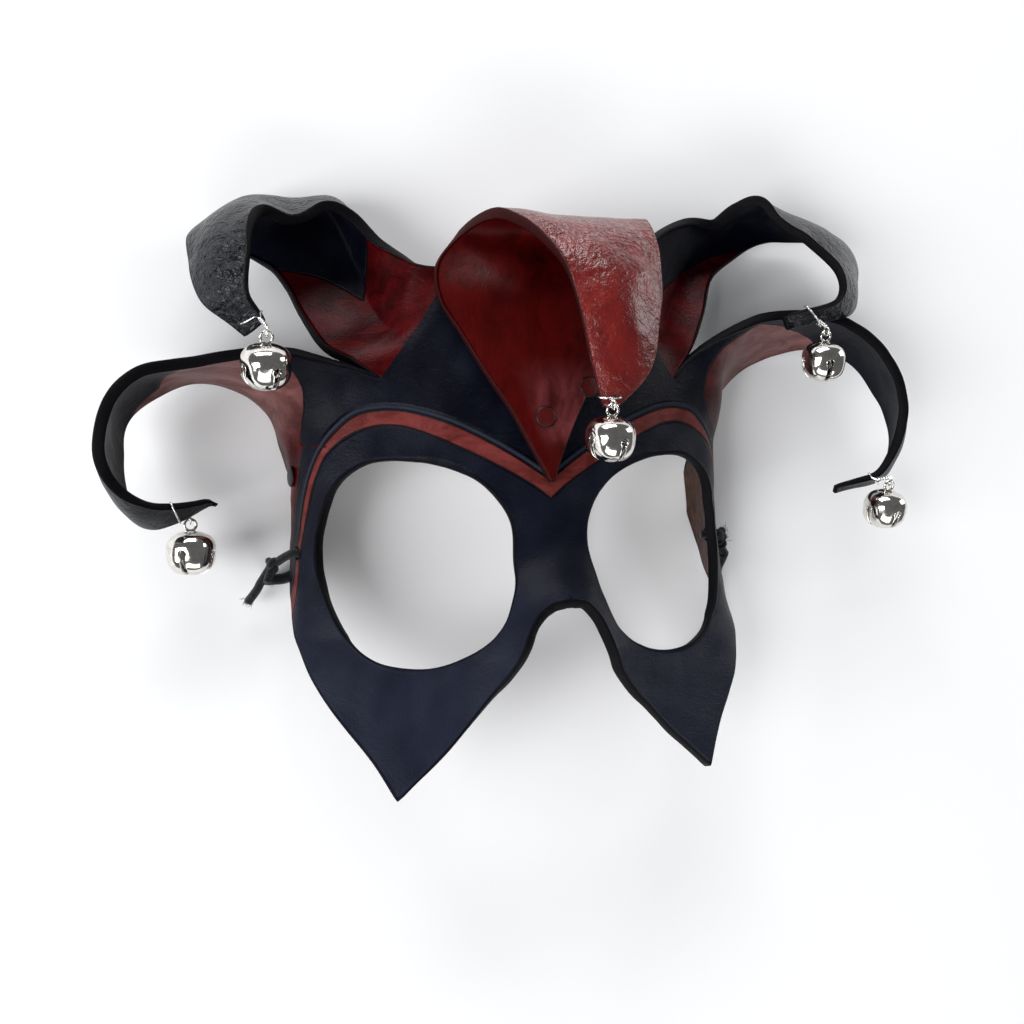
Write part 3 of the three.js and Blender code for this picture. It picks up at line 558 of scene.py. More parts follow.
# Each horn runs through stations, as points of its front edge, its rear edge and its folded middle line, or
# as how far its middle bows out. The red paint ends at a station for each share of the width, and at a
# share of the width for each station.
sideHorns = {
    "lowerLeft": {
        "side": -1, "root": "rootLower", "inset": 1.2,
        "front": [(52, 35, 28), (66, 37.7, 28), (80, 36.8, 28), (93, 34.2, 29), (104.6, 31.6, 31),
                  (111, 25, 33), (114, 15, 33), (112.4, 6.9, 31), (106.3, 0.5, 28), (98, -1.6, 24),
                  (86, 0, 18)],
        "rear": [(65, 14.5, -0.6), (68, 24, -0.6), (77, 31, 0.6), (88, 33, 4), (98.5, 29, 9),
                 (107, 21.5, 12), (109, 11, 16), (107.8, 0.7, 18), (102.5, -5.2, 18), (96, -5.3, 17),
                 (85, 0, 18)],
        "bow": [0, 5, 2, 0, -1, -2, -2, -1, -1, -1, 0, 0],
        "redEnd": [(0, 5.8), (0.05, 5.7), (0.18, 4.9), (0.92, 4.1), (1, 4.0)],
        "redFront": [(0, 0.36), (0.3, 0.38), (0.8, 0.5), (1.2, 0.62), (1.45, 0.72), (1.8, 0.82),
                     (2.05, 0.9), (2.6, 0.98), (3.2, 1.1), (6, 1.2)],
    },
    "lowerRight": {
        "side": 1, "root": "rootLower", "inset": 1.2,
        "front": [(53, 40, 27), (63, 45, 26), (75, 49, 25.5), (88, 50.2, 24.5), (102, 48.4, 25.5),
                  (112, 41, 28), (119.3, 31, 29), (121.4, 20, 28), (119.4, 9, 26), (113, 1, 25),
                  (100, -2, 24)],
        "rear": [(66.5, 15, -0.6), (70.5, 26.3, -0.6), (78.5, 35.4, 0.6), (91, 41.2, 3.5), (104, 43, 6),
                 (116, 38.5, 9), (122.5, 29.2, 12), (125.4, 19, 15), (124.4, 9, 18), (118, 0, 20),
                 (100, -4, 23)],
        "bow": [0, 5, 2, 0, -1, -2, -2, -1, -1, -1, 0, 0],
        "redEnd": [(0, 5.2), (0.2, 4.9), (0.52, 4.35), (0.78, 3.8), (0.98, 2.95), (1, 2.9)],
        "redFront": [(0, 0.5), (0.25, 0.7), (0.9, 0.85), (1.65, 0.9), (2.45, 0.92), (2.95, 0.98),
                     (6, 1.0)],
    },
    "upperLeft": {
        "side": -1, "root": "rootUpper", "inset": 2.4,
        "front": [(30, 60.8, 27), (34.5, 63.8, 23), (40.5, 67.8, 19), (47, 75, 17), (54, 77.4, 19),
                  (64, 73.6, 23), (72, 75, 28), (76, 70, 34), (78.3, 60, 38), (78.6, 50.5, 39),
                  (74.4, 44.2, 37)],
        "crease": [(37, 44, 23), (40, 51, 14), (42, 61, 8), (46, 72.4, 6), (52, 81.6, 7), (63.4, 81.8, 9),
                   (75.5, 79.6, 15), (82, 73, 24), (85, 64, 32), (84.5, 52, 36), (76.4, 42.4, 35.5)],
        "rear": [(49, 35, 26), (55, 39.5, 20), (60, 49.5, 13), (63, 57.5, 8), (68, 64.5, 6),
                 (75, 69.5, 5), (84.4, 73.6, 8), (89.6, 69.4, 16), (90, 61, 24), (88, 49, 30.5),
                 (79, 40.6, 33)],
        "redEnd": [(0, 4.75), (0.12, 4.05), (0.28, 3.25), (0.45, 2.35), (0.57, 2.85), (0.82, 3.15),
                   (1, 3.3)],
        "redFront": [(0, 1.5), (6, 1.5)],
    },
    "upperRight": {
        "side": 1, "root": "rootUpper", "inset": 2.4,
        "front": [(33, 65, 27), (42, 73, 22), (53, 78, 18), (63, 78, 17), (70, 83, 20), (76, 85, 24),
                  (82, 78, 27), (91, 71, 30), (99, 62, 32), (96.8, 52.2, 33), (78, 47.4, 35)],
        "crease": [(42, 46, 21), (51.5, 57.5, 12), (60.5, 69.5, 7), (70, 78, 6), (79, 84, 8),
                   (88, 84, 12), (98, 80, 16), (105.5, 74, 21), (106.4, 64, 26), (102.4, 52.2, 30),
                   (79, 45.8, 34.5)],
        "rear": [(48.5, 37.5, 25), (57, 50, 18), (64, 63.2, 11), (75, 71.3, 7), (86, 77.2, 5),
                 (97, 79, 5), (110, 78.6, 8), (115.2, 73.6, 12), (113.6, 63.2, 18), (106.2, 50.4, 25),
                 (80, 44.4, 33.5)],
        "redEnd": [(0, 4.3), (0.2, 3.65), (0.4, 3.0), (0.55, 2.5), (0.68, 1.45), (0.85, 1.2), (1, 1.1)],
        "redFront": [(0, 1.5), (6, 1.5)],
    },
}
# A creased horn's row falls off from its middle by this power of the distance, from the root to the tip:
# near 1 it is a fold, and at 2 a round bow
creaseSharpness = [1.15, 1.15, 1.2, 1.25, 1.3, 1.35, 1.4, 1.5, 1.6, 1.7, 1.9, 2]
# The tooled red stripe over the brow and down the temples, as its two edges from the middle outwards
browStripe = {
    "lower": [(0, -3), (4.5, 0.6), (11.7, 5), (21.4, 10.2), (31.1, 14.8), (38.5, 17.4), (45.1, 18),
              (50.9, 16.7), (56.1, 14.1), (60, 11), (63, 6.1), (65.4, 1.2), (67.5, -4.5), (69.9, -12.1),
              (72.2, -22.2), (72.8, -29.8), (72.8, -45)],
    "upper": [(0, 2.3), (2.6, 4.3), (9.9, 9.1), (20.4, 15.2), (28.4, 18.8), (38.2, 21.8), (46.5, 22.1),
              (51.7, 20.9), (56.9, 17.4), (60.7, 13.9), (63.9, 9.6), (66.6, 3.8), (69.6, -3.6),
              (72.1, -12.1), (75.2, -22), (76.7, -28), (80, -42)],
}
templeWedge = [(69.3, 22), (69.3, 14.2), (69.8, 12.9), (73.3, -0.5), (76.7, -8.7), (78.6, -17), (80.5, -25),
               (84, -40)]


def facePoint(across, height):
    # A wide arc over the brow, a tighter one round each temple and a straight piece beyond; the forehead
    # leans back, the bridge of the nose rises, the cheeks lift off and flare
    across, height = np.broadcast_arrays(np.asarray(across, float), np.asarray(height, float))
    arc = np.abs(across)
    brow, temple = leather["browRadius"], leather["templeRadius"]
    edgeTurn = leather["browHalfArc"] / brow
    browTurn = np.minimum(arc, leather["browHalfArc"]) / brow
    turn = edgeTurn + np.clip((arc - leather["browHalfArc"]) / temple, 0, leather["templeTurn"] - edgeTurn)
    straight = np.maximum(arc - leather["browHalfArc"] - temple * (leather["templeTurn"] - edgeTurn), 0)
    x = brow * np.sin(browTurn) + temple * (np.sin(turn) - np.sin(edgeTurn))
    x = x + straight * np.cos(leather["templeTurn"])
    z = leather["browHeight"] - brow * (1 - np.cos(browTurn)) - temple * (np.cos(edgeTurn) - np.cos(turn))
    z = z - straight * np.sin(leather["templeTurn"])
    lean = np.maximum(height - leather["foreheadStart"], 0)
    z = z - leather["foreheadLean"] * lean ** 2 * np.exp(-((arc / leather["foreheadWidth"]) ** 4))
    growth = blendStep(-height, *leather["bridgeGrowthSpan"])
    fade = (leather["bridgeEnd"] - height) / (leather["bridgeEnd"] - leather["foreheadStart"])
    bridge = leather["bridgeHeight"] * np.clip(fade, 0, 1) + leather["bridgeGrowth"] * growth
    z = z + np.exp(-((arc / leather["bridgeWidth"]) ** 2)) * bridge
    z = z + leather["cheekLift"] * np.maximum(leather["cheekLiftStart"] - height, 0)
    zone = np.exp(-(((height - leather["cheekFlareAt"]) / leather["cheekFlareLength"]) ** 2))
    near, far = leather["cheekFlareArc"]
    flare = zone * np.clip((arc - near) / (far - near), 0, 1)
    x, z = x + leather["cheekFlare"] * flare, z + leather["cheekRise"] * flare
    return np.stack([np.sign(across) * x, height, z], -1)


def faceNormal(across, height):
    # At right angles to two small steps on the face, one across and one up
    step = 0.5
    over = facePoint(across + step, height) - facePoint(across - step, height)
    up = facePoint(across, height + step) - facePoint(across, height - step)
    return unit(np.cross(over, up))


def lineGap(across, height, line):
    # Distance to a line of points, with a minus sign on its inner side: the nearest of its straight pieces
    # counts, and a curve through the points is cut into six pieces for each
    line = curveThrough(line, np.linspace(0, 1, 6 * len(line)))
    place = np.stack([across, height], -1)
    nearest = np.full(across.shape, np.inf)
    sign = np.ones(across.shape)
    for start, end in zip(line[:-1], line[1:]):
        step = end - start
        share = np.clip((place - start) @ step / (step @ step), 0, 1)
        away = place - start - share[..., None] * step
        gap = np.linalg.norm(away, axis=-1)
        closer = gap < nearest
        nearest = np.where(closer, gap, nearest)
        sign = np.where(closer, np.sign(step[0] * away[..., 1] - step[1] * away[..., 0]), sign)
    return nearest * sign


def pullIn(share, width, amount, start=1.0, end=1.0, reach=3):
    # Points near the ends of a stretch move inwards by amount, and the move dies out over the reach
    give = amount / np.maximum(width, 2 * amount)
    startMove, endMove = np.exp(-share * width / reach), np.exp(-(1 - share) * width / reach)
    return share + give * (start * startMove - end * endMove)


def thinned(share):
    # 1 up to where the leather thins, and evenly down to the tip's share of the thickness
    thinning = np.clip((share - leather["thinFrom"]) / (1 - leather["thinFrom"]), 0, 1)
    return 1 - (1 - leather["tipThickness"]) * thinning


def halfFace(side):
    # Rings between the eye opening and the outer edge: a point of the edge and the eye's centre give each
    # spoke. The eye's radii are run through three times, so that their curve closes smoothly.
    edge = np.vstack([curveThrough(points, np.arange(count) / count) for _, points, count in faceEdge])
    starts = np.concatenate([[0], np.cumsum([count for _, _, count in faceEdge])])
    angle = np.arctan2(edge[:, 1] - leather["eyeCentre"][1], edge[:, 0] - leather["eyeCentre"][0])
    radii = leather["eyeRadii"]
    radius = curveThrough(3 * radii + radii[:1], (1 + angle / (2 * np.pi)) / 3)[:, 0]
    eye = leather["eyeCentre"] + around(angle, np.array([1, 0]), np.array([0, 1])) * radius[:, None]
    width = np.linalg.norm(edge - eye, axis=1)
    # Only a free edge bulges: not the horns' roots, where the steps start, and not the middle line. The
    # bulge sets in over seven steps and dies out over the last five.
    steps = np.arange(len(edge))
    _, lowerEnd, upperEnd, middleStart, middleEnd = starts[:5]
    free = blendStep(steps, upperEnd - 1, upperEnd + 6)
    free = free * blendStep(-steps, -len(edge) - 0.5, -len(edge) + 5)
    free = np.where((steps >= middleStart) & (steps <= middleEnd), 0, free)
    share = np.linspace(0, 1, leather["rings"] + 1)[:, None]
    share = pullIn(share, width, leather["edgeBulge"], 1, free)
    flat = eye * (1 - share[..., None]) + edge * share[..., None]
    across, height = flat[..., 0], flat[..., 1]
    calm = np.zeros(across.shape)
    for root, end in (("rootLower", lowerEnd), ("rootUpper", upperEnd)):
        strength, reach, _ = leather["rootBlend"][root]
        near = strength * np.exp(-(((1 - share) * width / reach) ** 2))
        calm = np.maximum(calm, np.where(steps <= end, near, 0))
    numbers = {
        "stripeLow": lineGap(across, height, browStripe["lower"]),
        "stripeHigh": lineGap(across, height, browStripe["upper"]),
        "paint": np.where(across > leather["wedgeFrom"], lineGap(across, height, templeWedge),
                          -leather["farOff"]),
        "rosySheen": np.zeros(across.shape), "upper": np.zeros(across.shape), "raw": np.ones(across.shape),
        "thin": np.ones(across.shape), "calm": calm,
    }
    return facePoint(side * across, height), numbers, starts


def hornGrid(horn, root):
    # A strip from its root to its tip. Each row goes from the rear edge to the front edge; its middle is
    # lifted to the crease, or bowed, and the first rows follow the root.
    side, creased = horn["side"], "crease" in horn
    mirror = np.array([side, 1, 1])
    share = np.linspace(0, 1, leather["hornRows"])
    station = share * len(horn["front"])
    rearLine = np.vstack([root[:1], np.array(horn["rear"]) * mirror])
    frontLine = np.vstack([root[-1:], np.array(horn["front"]) * mirror])
    rear, front = curveThrough(rearLine, share), curveThrough(frontLine, share)
    outward = unit(np.cross(directionAlong((rearLine, frontLine), share), front - rear)) * side
    width = np.linalg.norm(front - rear, axis=1)[:, None]
    flatShare = np.linspace(0, 1, len(root))[None]
    ease = np.minimum(station, 1)[:, None]
    pulled = pullIn(flatShare, width, leather["edgeBulge"])
    across = (flatShare + (pulled - flatShare) * ease)[..., None]
    if creased:
        crease = np.vstack([root[len(root) // 2][None], np.array(horn["crease"]) * mirror])
        lift = curveThrough(crease, share) - (rear + front) / 2
        sharp = curveThrough(creaseSharpness, share)[:, :, None]
    else:
        lift = outward * curveThrough(horn["bow"], share)
        sharp = 2
    weight = 1 - np.abs(2 * across - 1) ** sharp
    grid = rear[:, None] * (1 - across) + front[:, None] * across + lift[:, None] * weight
    grid = grid + (outward * horn["inset"] * ease)[:, None]
    follow = np.maximum(1 - station / leather["followStations"], 0) ** 2
    grid = grid + (root - grid[0])[None] * follow[:, None, None]
    # Distances to the ends of the paint, in millimetres along and across the strip. A station's length is
    # taken as 0.8 of its mean along the horn.
    steps = np.linalg.norm(np.diff(grid.mean(1), axis=0), axis=1)
    pace = 0.8 * steps.mean() / (station[1] - station[0])
    ends, limits = np.array(horn["redEnd"]).T
    endGap = (np.interp(flatShare, ends, limits) - station[:, None]) * pace
    places, fronts = np.array(horn["redFront"]).T
    frontGap = (np.interp(station, places, fronts)[:, None] - flatShare) * width
    away = np.linalg.norm(grid.mean(1) - grid[0].mean(0), axis=1)
    strength, _, reach = leather["rootBlend"][horn["root"]]

    def eachRow(values):
        # one value a row, repeated along the row
        return np.broadcast_to(np.reshape(values, (-1, 1)), grid.shape[:2])

    numbers = {
        "stripeLow": eachRow(leather["farOff"]), "stripeHigh": eachRow(leather["farOff"]),
        "paint": np.minimum(endGap, frontGap),
        "rosySheen": eachRow(np.clip(station / leather["rosySheenStations"], 0, 1) * (not creased)),
        "upper": eachRow(np.clip(station, 0, 1) * creased), "raw": eachRow(0.0),
        "thin": eachRow(thinned(share)), "calm": eachRow(strength * np.exp(-((away / reach) ** 2))),
    }
    return grid, numbers


def vertexNormals(points, quads):
    # The faces' own normals, larger faces counting more, added up at each corner
    normal = np.cross(points[quads[:, 2]] - points[quads[:, 0]], points[quads[:, 3]] - points[quads[:, 1]])
    total = np.stack([
        np.bincount(quads.ravel(), np.repeat(normal[:, axis], 4), len(points)) for axis in range(3)], 1)
    return unit(total)


def openEdges(quads, count):
    # Sides of the squares that no other square shares, in the squares' own direction
    sides = np.concatenate([np.stack([quads[:, k], quads[:, (k + 1) % 4]], 1) for k in range(4)])
    sides = sides[sides[:, 0] != sides[:, 1]]
    forward, backward = sides[:, 0] * count + sides[:, 1], sides[:, 1] * count + sides[:, 0]
    return sides[~np.isin(forward, backward)]


def relax(points, quads, calm, rounds, pull=0.6):
    # Each point moves towards the mean of its neighbours, by the pull times its own calm number. Points on
    # an open edge stay.
    edges = np.concatenate([np.stack([quads[:, k], quads[:, (k + 1) % 4]], 1) for k in range(4)])
    edges = np.unique(np.sort(edges, 1), axis=0)
    start, end = np.concatenate([edges, edges[:, ::-1]]).T
    degree = np.bincount(start, minlength=len(points))
    rimPoints = np.unique(openEdges(quads, len(points)))
    weight = calm.copy()
    weight[rimPoints] = 0
    for _ in range(rounds):
        mean = np.stack([np.bincount(start, points[end, axis], len(points)) for axis in range(3)], 1)
        mean = mean / np.maximum(degree, 1)[:, None]
        points = points + pull * weight[:, None] * (mean - points)
    return points


def leatherSheet(points, quads, thickness, numbers, bulge, steps, roundness=0.7):
    # The smooth side, the rough side a thickness below it, and an edge that bulges between them: at a turn
    # from 0 to half a circle, out by the sine and down by the cosine, each raised to the roundness
    count = len(points)
    normal = vertexNormals(points, quads)
    rough = points - normal * thickness[:, None]
    edges = openEdges(quads, count)
    step = unit(points[edges[:, 1]] - points[edges[:, 0]])
    out = np.zeros((count, 3))
    for column in range(2):
        outward = np.cross(step, normal[edges[:, column]])
        out += np.stack([np.bincount(edges[:, column], outward[:, axis], count) for axis in range(3)], 1)
    rimPoints = np.unique(edges)
    out = unit(out[rimPoints])
    turn = np.linspace(0, np.pi, steps + 2)[1:-1]
    reach = bulge * np.sin(turn) ** roundness
    drop = 0.5 - 0.5 * np.sign(np.cos(turn)) * np.abs(np.cos(turn)) ** roundness
    walls = [points[rimPoints] * (1 - d) + rough[rimPoints] * d + out * r for r, d in zip(reach, drop)]
    place = np.zeros(count, int)
    place[rimPoints] = np.arange(len(rimPoints))
    walled = [2 * count + level * len(rimPoints) + place[edges] for level in range(steps)]
    levels = [edges, *walled, edges + count]
    faces = [quads, quads[:, ::-1] + count]
    for upper, lower in zip(levels[:-1], levels[1:]):
        faces.append(np.stack([lower[:, 1], lower[:, 0], upper[:, 0], upper[:, 1]], 1))
    allPoints = np.vstack([points, rough, *walls])
    depth = np.concatenate([np.zeros(count), np.ones(count), np.repeat(drop, len(rimPoints))])
    edgeWall = np.concatenate([np.zeros(2 * count), np.ones(steps * len(rimPoints))])
    carried = {"depth": depth, "wall": edgeWall}
    for label, values in numbers.items():
        carried[label] = np.concatenate([values, values, *[values[rimPoints]] * steps])
    return allPoints, faces, carried


def makeLeatherMask():
    # Two halves of the face that share the middle line, and four horns whose first row is on the face
    blocks, quads, faceIndex = [], [], {}

    def added(grid, values):
        # keeps a grid's points and numbers, and gives the point numbers it gets
        start = sum(len(known) for known, _ in blocks)
        blocks.append((grid.reshape(-1, 3), {label: each.ravel() for label, each in values.items()}))
        return start + np.arange(len(blocks[-1][0])).reshape(grid.shape[:2])

    for side in (1, -1):
        grid, values, starts = halfFace(side)
        index = added(grid, values)
        if side < 0:
            middle = slice(starts[3], starts[4] + 1)
            index[-1, middle] = faceIndex[1][-1, middle]
        faceIndex[side] = index
        quads.append(gridFaces(np.hstack([index, index[:, :1]]))[:, ::side])
    facePoints = np.vstack([known for known, _ in blocks])
    for horn in sideHorns.values():
        stretch = [name for name, _, _ in faceEdge].index(horn["root"])
        root = faceIndex[horn["side"]][-1, starts[stretch]:starts[stretch + 1] + 1]
        index = added(*hornGrid(horn, facePoints[root]))
        index[0] = root
        quads.append(gridFaces(index)[:, ::horn["side"]])
    used, compact = np.unique(np.vstack(quads), return_inverse=True)
    quads = compact.reshape(-1, 4)
    points = np.vstack([known for known, _ in blocks])[used]
    numbers = {label: np.concatenate([known[label] for _, known in blocks])[used] for label in values}
    points = relax(points, quads, numbers.pop("calm"), leather["relaxRounds"])
    # Holes for the cord: the squares inside are taken out and the points round them move onto the circle
    for side in (1, -1):
        centre = facePoint(side * leather["cordHole"][0], leather["cordHole"][1])
        away = points - centre
        gap = np.linalg.norm(away, axis=1)
        inside = gap[quads].mean(1) < leather["cordHoleRadius"]
        ringPoints = np.intersect1d(quads[inside], quads[~inside])
        quads = quads[~inside]
        points[ringPoints] = centre + unit(away[ringPoints]) * leather["cordHoleRadius"]
    wobble = sum(softWaves(points, size, seed) * height for size, seed, height in leather["waves"])
    points = points + vertexNormals(points, quads) * wobble[:, None]
    thickness = numbers.pop("thin") * leather["thickness"]
    sheet, faces, carried = leatherSheet(
        points, quads, thickness, numbers, leather["edgeBulge"], leather["edgeSteps"])
    sheet[:, 2] = np.maximum(sheet[:, 2], 0)  # flat where it rests
    return sheet, faces, carried


maskPoints, maskFaces, maskNumbers = makeLeatherMask()
maskPiece = putMesh("leatherMask", maskPoints, maskFaces, finishes["paintedLeather"], maskNumbers)
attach(maskPiece, "root")
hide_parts("leather_mask")
print("Leather mask:", sum(len(group) for group in maskFaces) * 2, "triangles")

# The centre horn: a leaf of leather that is riveted to the forehead and rolls forward over itself
centreHorn = {
    "left": [(-1, 2, 44.6), (-6, 11, 43.9), (-11, 21, 42.4), (-17, 31, 40.4), (-23, 42, 38.2),
             (-28, 51, 36.3), (-27.8, 60.5, 34.5), (-20.5, 68.5, 33.5), (-12.3, 72.3, 38), (-6, 67, 46),
             (0, 58, 52), (3, 48, 55), (6, 32, 56), (9, 20.6, 55)],
    "right": [(0, 2, 44.6), (3, 9, 44), (8, 19, 42.6), (14, 29, 40.7), (20, 40, 38.7), (26, 51, 36.5),
              (30, 60, 34.5), (33, 66.5, 33.5), (32.5, 71, 36), (31, 66, 42), (29, 57, 48),
              (26.5, 47, 52), (22.6, 31.5, 55), (13.6, 20.8, 55)],
    "bow": [0, 0, 0, 0, 1.5, 3, 1, -1, 0.5, -1, -3, -3.5, -2.5, 0],
    "rows": 190, "columns": 60, "gap": 0.5, "lift": (0.24, 0.4),
    "wave": (16, 11, 0.25), "waveStart": (3.5, 6),
}


def centreHornGrid():
    # Rows from the left edge to the right one, bowed in the middle; the first quarter lies on the forehead
    share = np.linspace(0, 1, centreHorn["rows"])
    lines = centreHorn["left"], centreHorn["right"]
    left, right = (curveThrough(line, share) for line in lines)
    outward = unit(np.cross(right - left, directionAlong(lines, share)))
    width = np.linalg.norm(right - left, axis=1)[:, None]
    flatShare = np.linspace(0, 1, centreHorn["columns"])[None]
    across = pullIn(flatShare, width, leather["edgeBulge"])[..., None]
    bow = (outward * curveThrough(centreHorn["bow"], share))[:, None]
    grid = left[:, None] * (1 - across) + right[:, None] * across + bow * (1 - (2 * across - 1) ** 2)
    onFace = facePoint(grid[..., 0], grid[..., 1])[..., 2] + leather["thickness"] + centreHorn["gap"]
    free = blendStep(share, *centreHorn["lift"])[:, None]
    grid[..., 2] = onFace * (1 - free) + grid[..., 2] * free
    return grid, share[:, None], flatShare


def makeCentreHorn():
    # The grid with soft waves over its free part, and numbers for the paint: its station and place across
    grid, share, flatShare = centreHornGrid()
    points, shape = grid.reshape(-1, 3), grid.shape[:2]
    quads = gridFaces(np.arange(len(points)).reshape(shape))[:, ::-1]
    numbers = {"station": share * (len(centreHorn["left"]) - 1), "across": flatShare}
    numbers = {label: np.broadcast_to(values, shape).ravel() for label, values in numbers.items()}
    size, seed, height = centreHorn["wave"]
    loose = blendStep(numbers["station"], *centreHorn["waveStart"])
    wobble = softWaves(points, size, seed) * height * loose
    points = points + vertexNormals(points, quads) * wobble[:, None]
    thickness = np.broadcast_to(thinned(share), shape).ravel() * leather["thickness"]
    return leatherSheet(points, quads, thickness, numbers, leather["edgeBulge"], leather["edgeSteps"])


centrePoints, centreFaces, centreNumbers = makeCentreHorn()
centrePiece = putMesh("centreHorn", centrePoints, centreFaces, finishes["redLeather"], centreNumbers)
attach(centrePiece, "root")
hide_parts("centre_horn")
print("Centre horn:", sum(len(group) for group in centreFaces) * 2, "triangles")

# Jingle bells: four petals with crossing slits, a pellet inside and a ring on top
bellShape = {
    "radius": 6.5, "halfHeight": 5.8, "wall": 0.6, "edgeBulge": 0.12, "edgeSteps": 3,
    "upper": [(0, 1), (0.26, 0.985), (0.52, 0.9), (0.76, 0.755), (0.92, 0.53), (0.985, 0.32),
              (0.999, 0.19)],
    "lower": [(0.999, 0.19), (1, 0), (0.99, -0.19), (0.95, -0.42), (0.85, -0.66), (0.66, -0.86),
              (0.4, -0.97), (0.15, -1)],
    "lobe": 0.075, "lobeSpan": (-0.3, 0.75), "slitHalf": 0.65, "holeRadius": 1.1, "holeShare": 0.3,
    "petalSteps": 26, "rowsAbove": 26, "holeRows": 16, "rowsBelow": 34,
    "ringRadius": 1.5, "ringWire": 0.4, "ringSteps": 28, "ringSides": 10,
    "pelletRadius": 2.2, "pelletGap": 0.3, "pelletLevels": 14, "pelletSides": 24,
}
bells = {
    "upper_left": {"centre": (-74.2, 32.5, 39.5), "turn": 20, "lean": 24,
                   "horn": "upperLeft", "row": 0.985, "reach": (0.35, 1)},
    "lower_left": {"centre": (-92, -13.5, 15), "turn": 62, "lean": 2,
                   "horn": "lowerLeft", "row": 0.92, "reach": (0, 1)},
    "centre": {"centre": (9.8, 11.8, 58.5), "turn": 14, "lean": 16,
               "horn": None, "row": 0.985, "reach": (0, 0.62)},
    "upper_right": {"centre": (90, 35, 34), "turn": -12, "lean": 14,
                    "horn": "upperRight", "row": 0.962, "reach": (0, 1)},
    "lower_right": {"centre": (114, -9.3, 27.8), "turn": 4, "lean": 20,
                    "horn": "lowerRight", "row": 0.92, "reach": (0, 1)},
}


def bellShell():
    # Points of a flattened ball by turn and level. From the round holes downwards four petals stop at the
    # slit's half width: a petal's first turn has a sine of that width divided by the ball's radius there.
    shape = bellShape
    steps = shape["petalSteps"]
    radius, height = (curveThrough(shape["upper"], np.linspace(0, 1, shape["rowsAbove"]))
                      * [shape["radius"], shape["halfHeight"]]).T
    turns = np.linspace(0, 2 * np.pi, 4 * steps, endpoint=False)
    top = np.stack([radius[1:, None] * np.sin(turns), np.repeat(height[1:, None], len(turns), 1),
                    radius[1:, None] * np.cos(turns)], -1)
    topCount = top.shape[0] * top.shape[1]
    topIndex = np.arange(topCount).reshape(top.shape[:2])
    quads = [gridFaces(np.hstack([topIndex, topIndex[:, :1]]))]
    points = [top.reshape(-1, 3), np.array([[0, shape["halfHeight"], 0]])]
    nextOne = np.roll(topIndex[0], -1)
    cap = np.stack([np.full(len(turns), topCount), topIndex[0], nextOne, nextOne], 1)
    total = topCount + 1
    share = np.concatenate([np.linspace(0, shape["holeShare"], shape["holeRows"]),
                            np.linspace(shape["holeShare"], 1, shape["rowsBelow"])[1:]])
    radius, height = (curveThrough(shape["lower"], share) * [shape["radius"], shape["halfHeight"]]).T
    hole = np.sqrt(np.maximum(shape["holeRadius"] ** 2 - height ** 2, 0))
    half = np.where(height > 0, hole, np.maximum(hole, shape["slitHalf"]))
    start = np.arcsin(np.minimum(half / radius, 0.7071))  # at most an eighth of a turn
    for petal in range(4):
        share = np.linspace(0, 1, steps + 1)[None]
        turn = petal * np.pi / 2 + start[:, None] * (1 - share) + (np.pi / 2 - start[:, None]) * share
        grid = np.stack([radius[:, None] * np.sin(turn), np.repeat(height[:, None], steps + 1, 1),
                         radius[:, None] * np.cos(turn)], -1)
        index = np.arange(grid.shape[0] * grid.shape[1]).reshape(grid.shape[:2]) + total
        index[0] = np.append(topIndex[-1], topIndex[-1, 0])[petal * steps:(petal + 1) * steps + 1]
        total += grid.shape[0] * grid.shape[1]
        points.append(grid.reshape(-1, 3))
        quads.append(gridFaces(index))
    points, quads = np.vstack(points), np.vstack([*quads, cap])
    used, compact = np.unique(quads, return_inverse=True)
    points, quads = points[used], compact.reshape(-1, 4)
    # The petals bulge between the slits: the radius shrinks by the lobe's share where cos 4t is 1
    turn = np.arctan2(points[:, 0], points[:, 2])
    lobe = shape["lobe"] * (0.5 + 0.5 * np.cos(4 * turn))
    lobe = lobe * (1 - blendStep(points[:, 1] / shape["halfHeight"], *shape["lobeSpan"]))
    return points * np.stack([1 - lobe, np.ones(len(lobe)), 1 - lobe], 1), quads


def turned(points, degrees, axis):
    # Points turned about the frame's X, Y or Z axis
    return points @ np.array(Matrix.Rotation(np.radians(degrees), 3, axis)).T


def cornersOnce(faces):
    # A square whose two corners are one point becomes a triangle
    clean = []
    for group in faces:
        double = group == np.roll(group, -1, 1)
        pinched = double.any(1)
        clean += [group[~pinched], group[pinched][~double[pinched]].reshape(-1, 3)]
    return clean


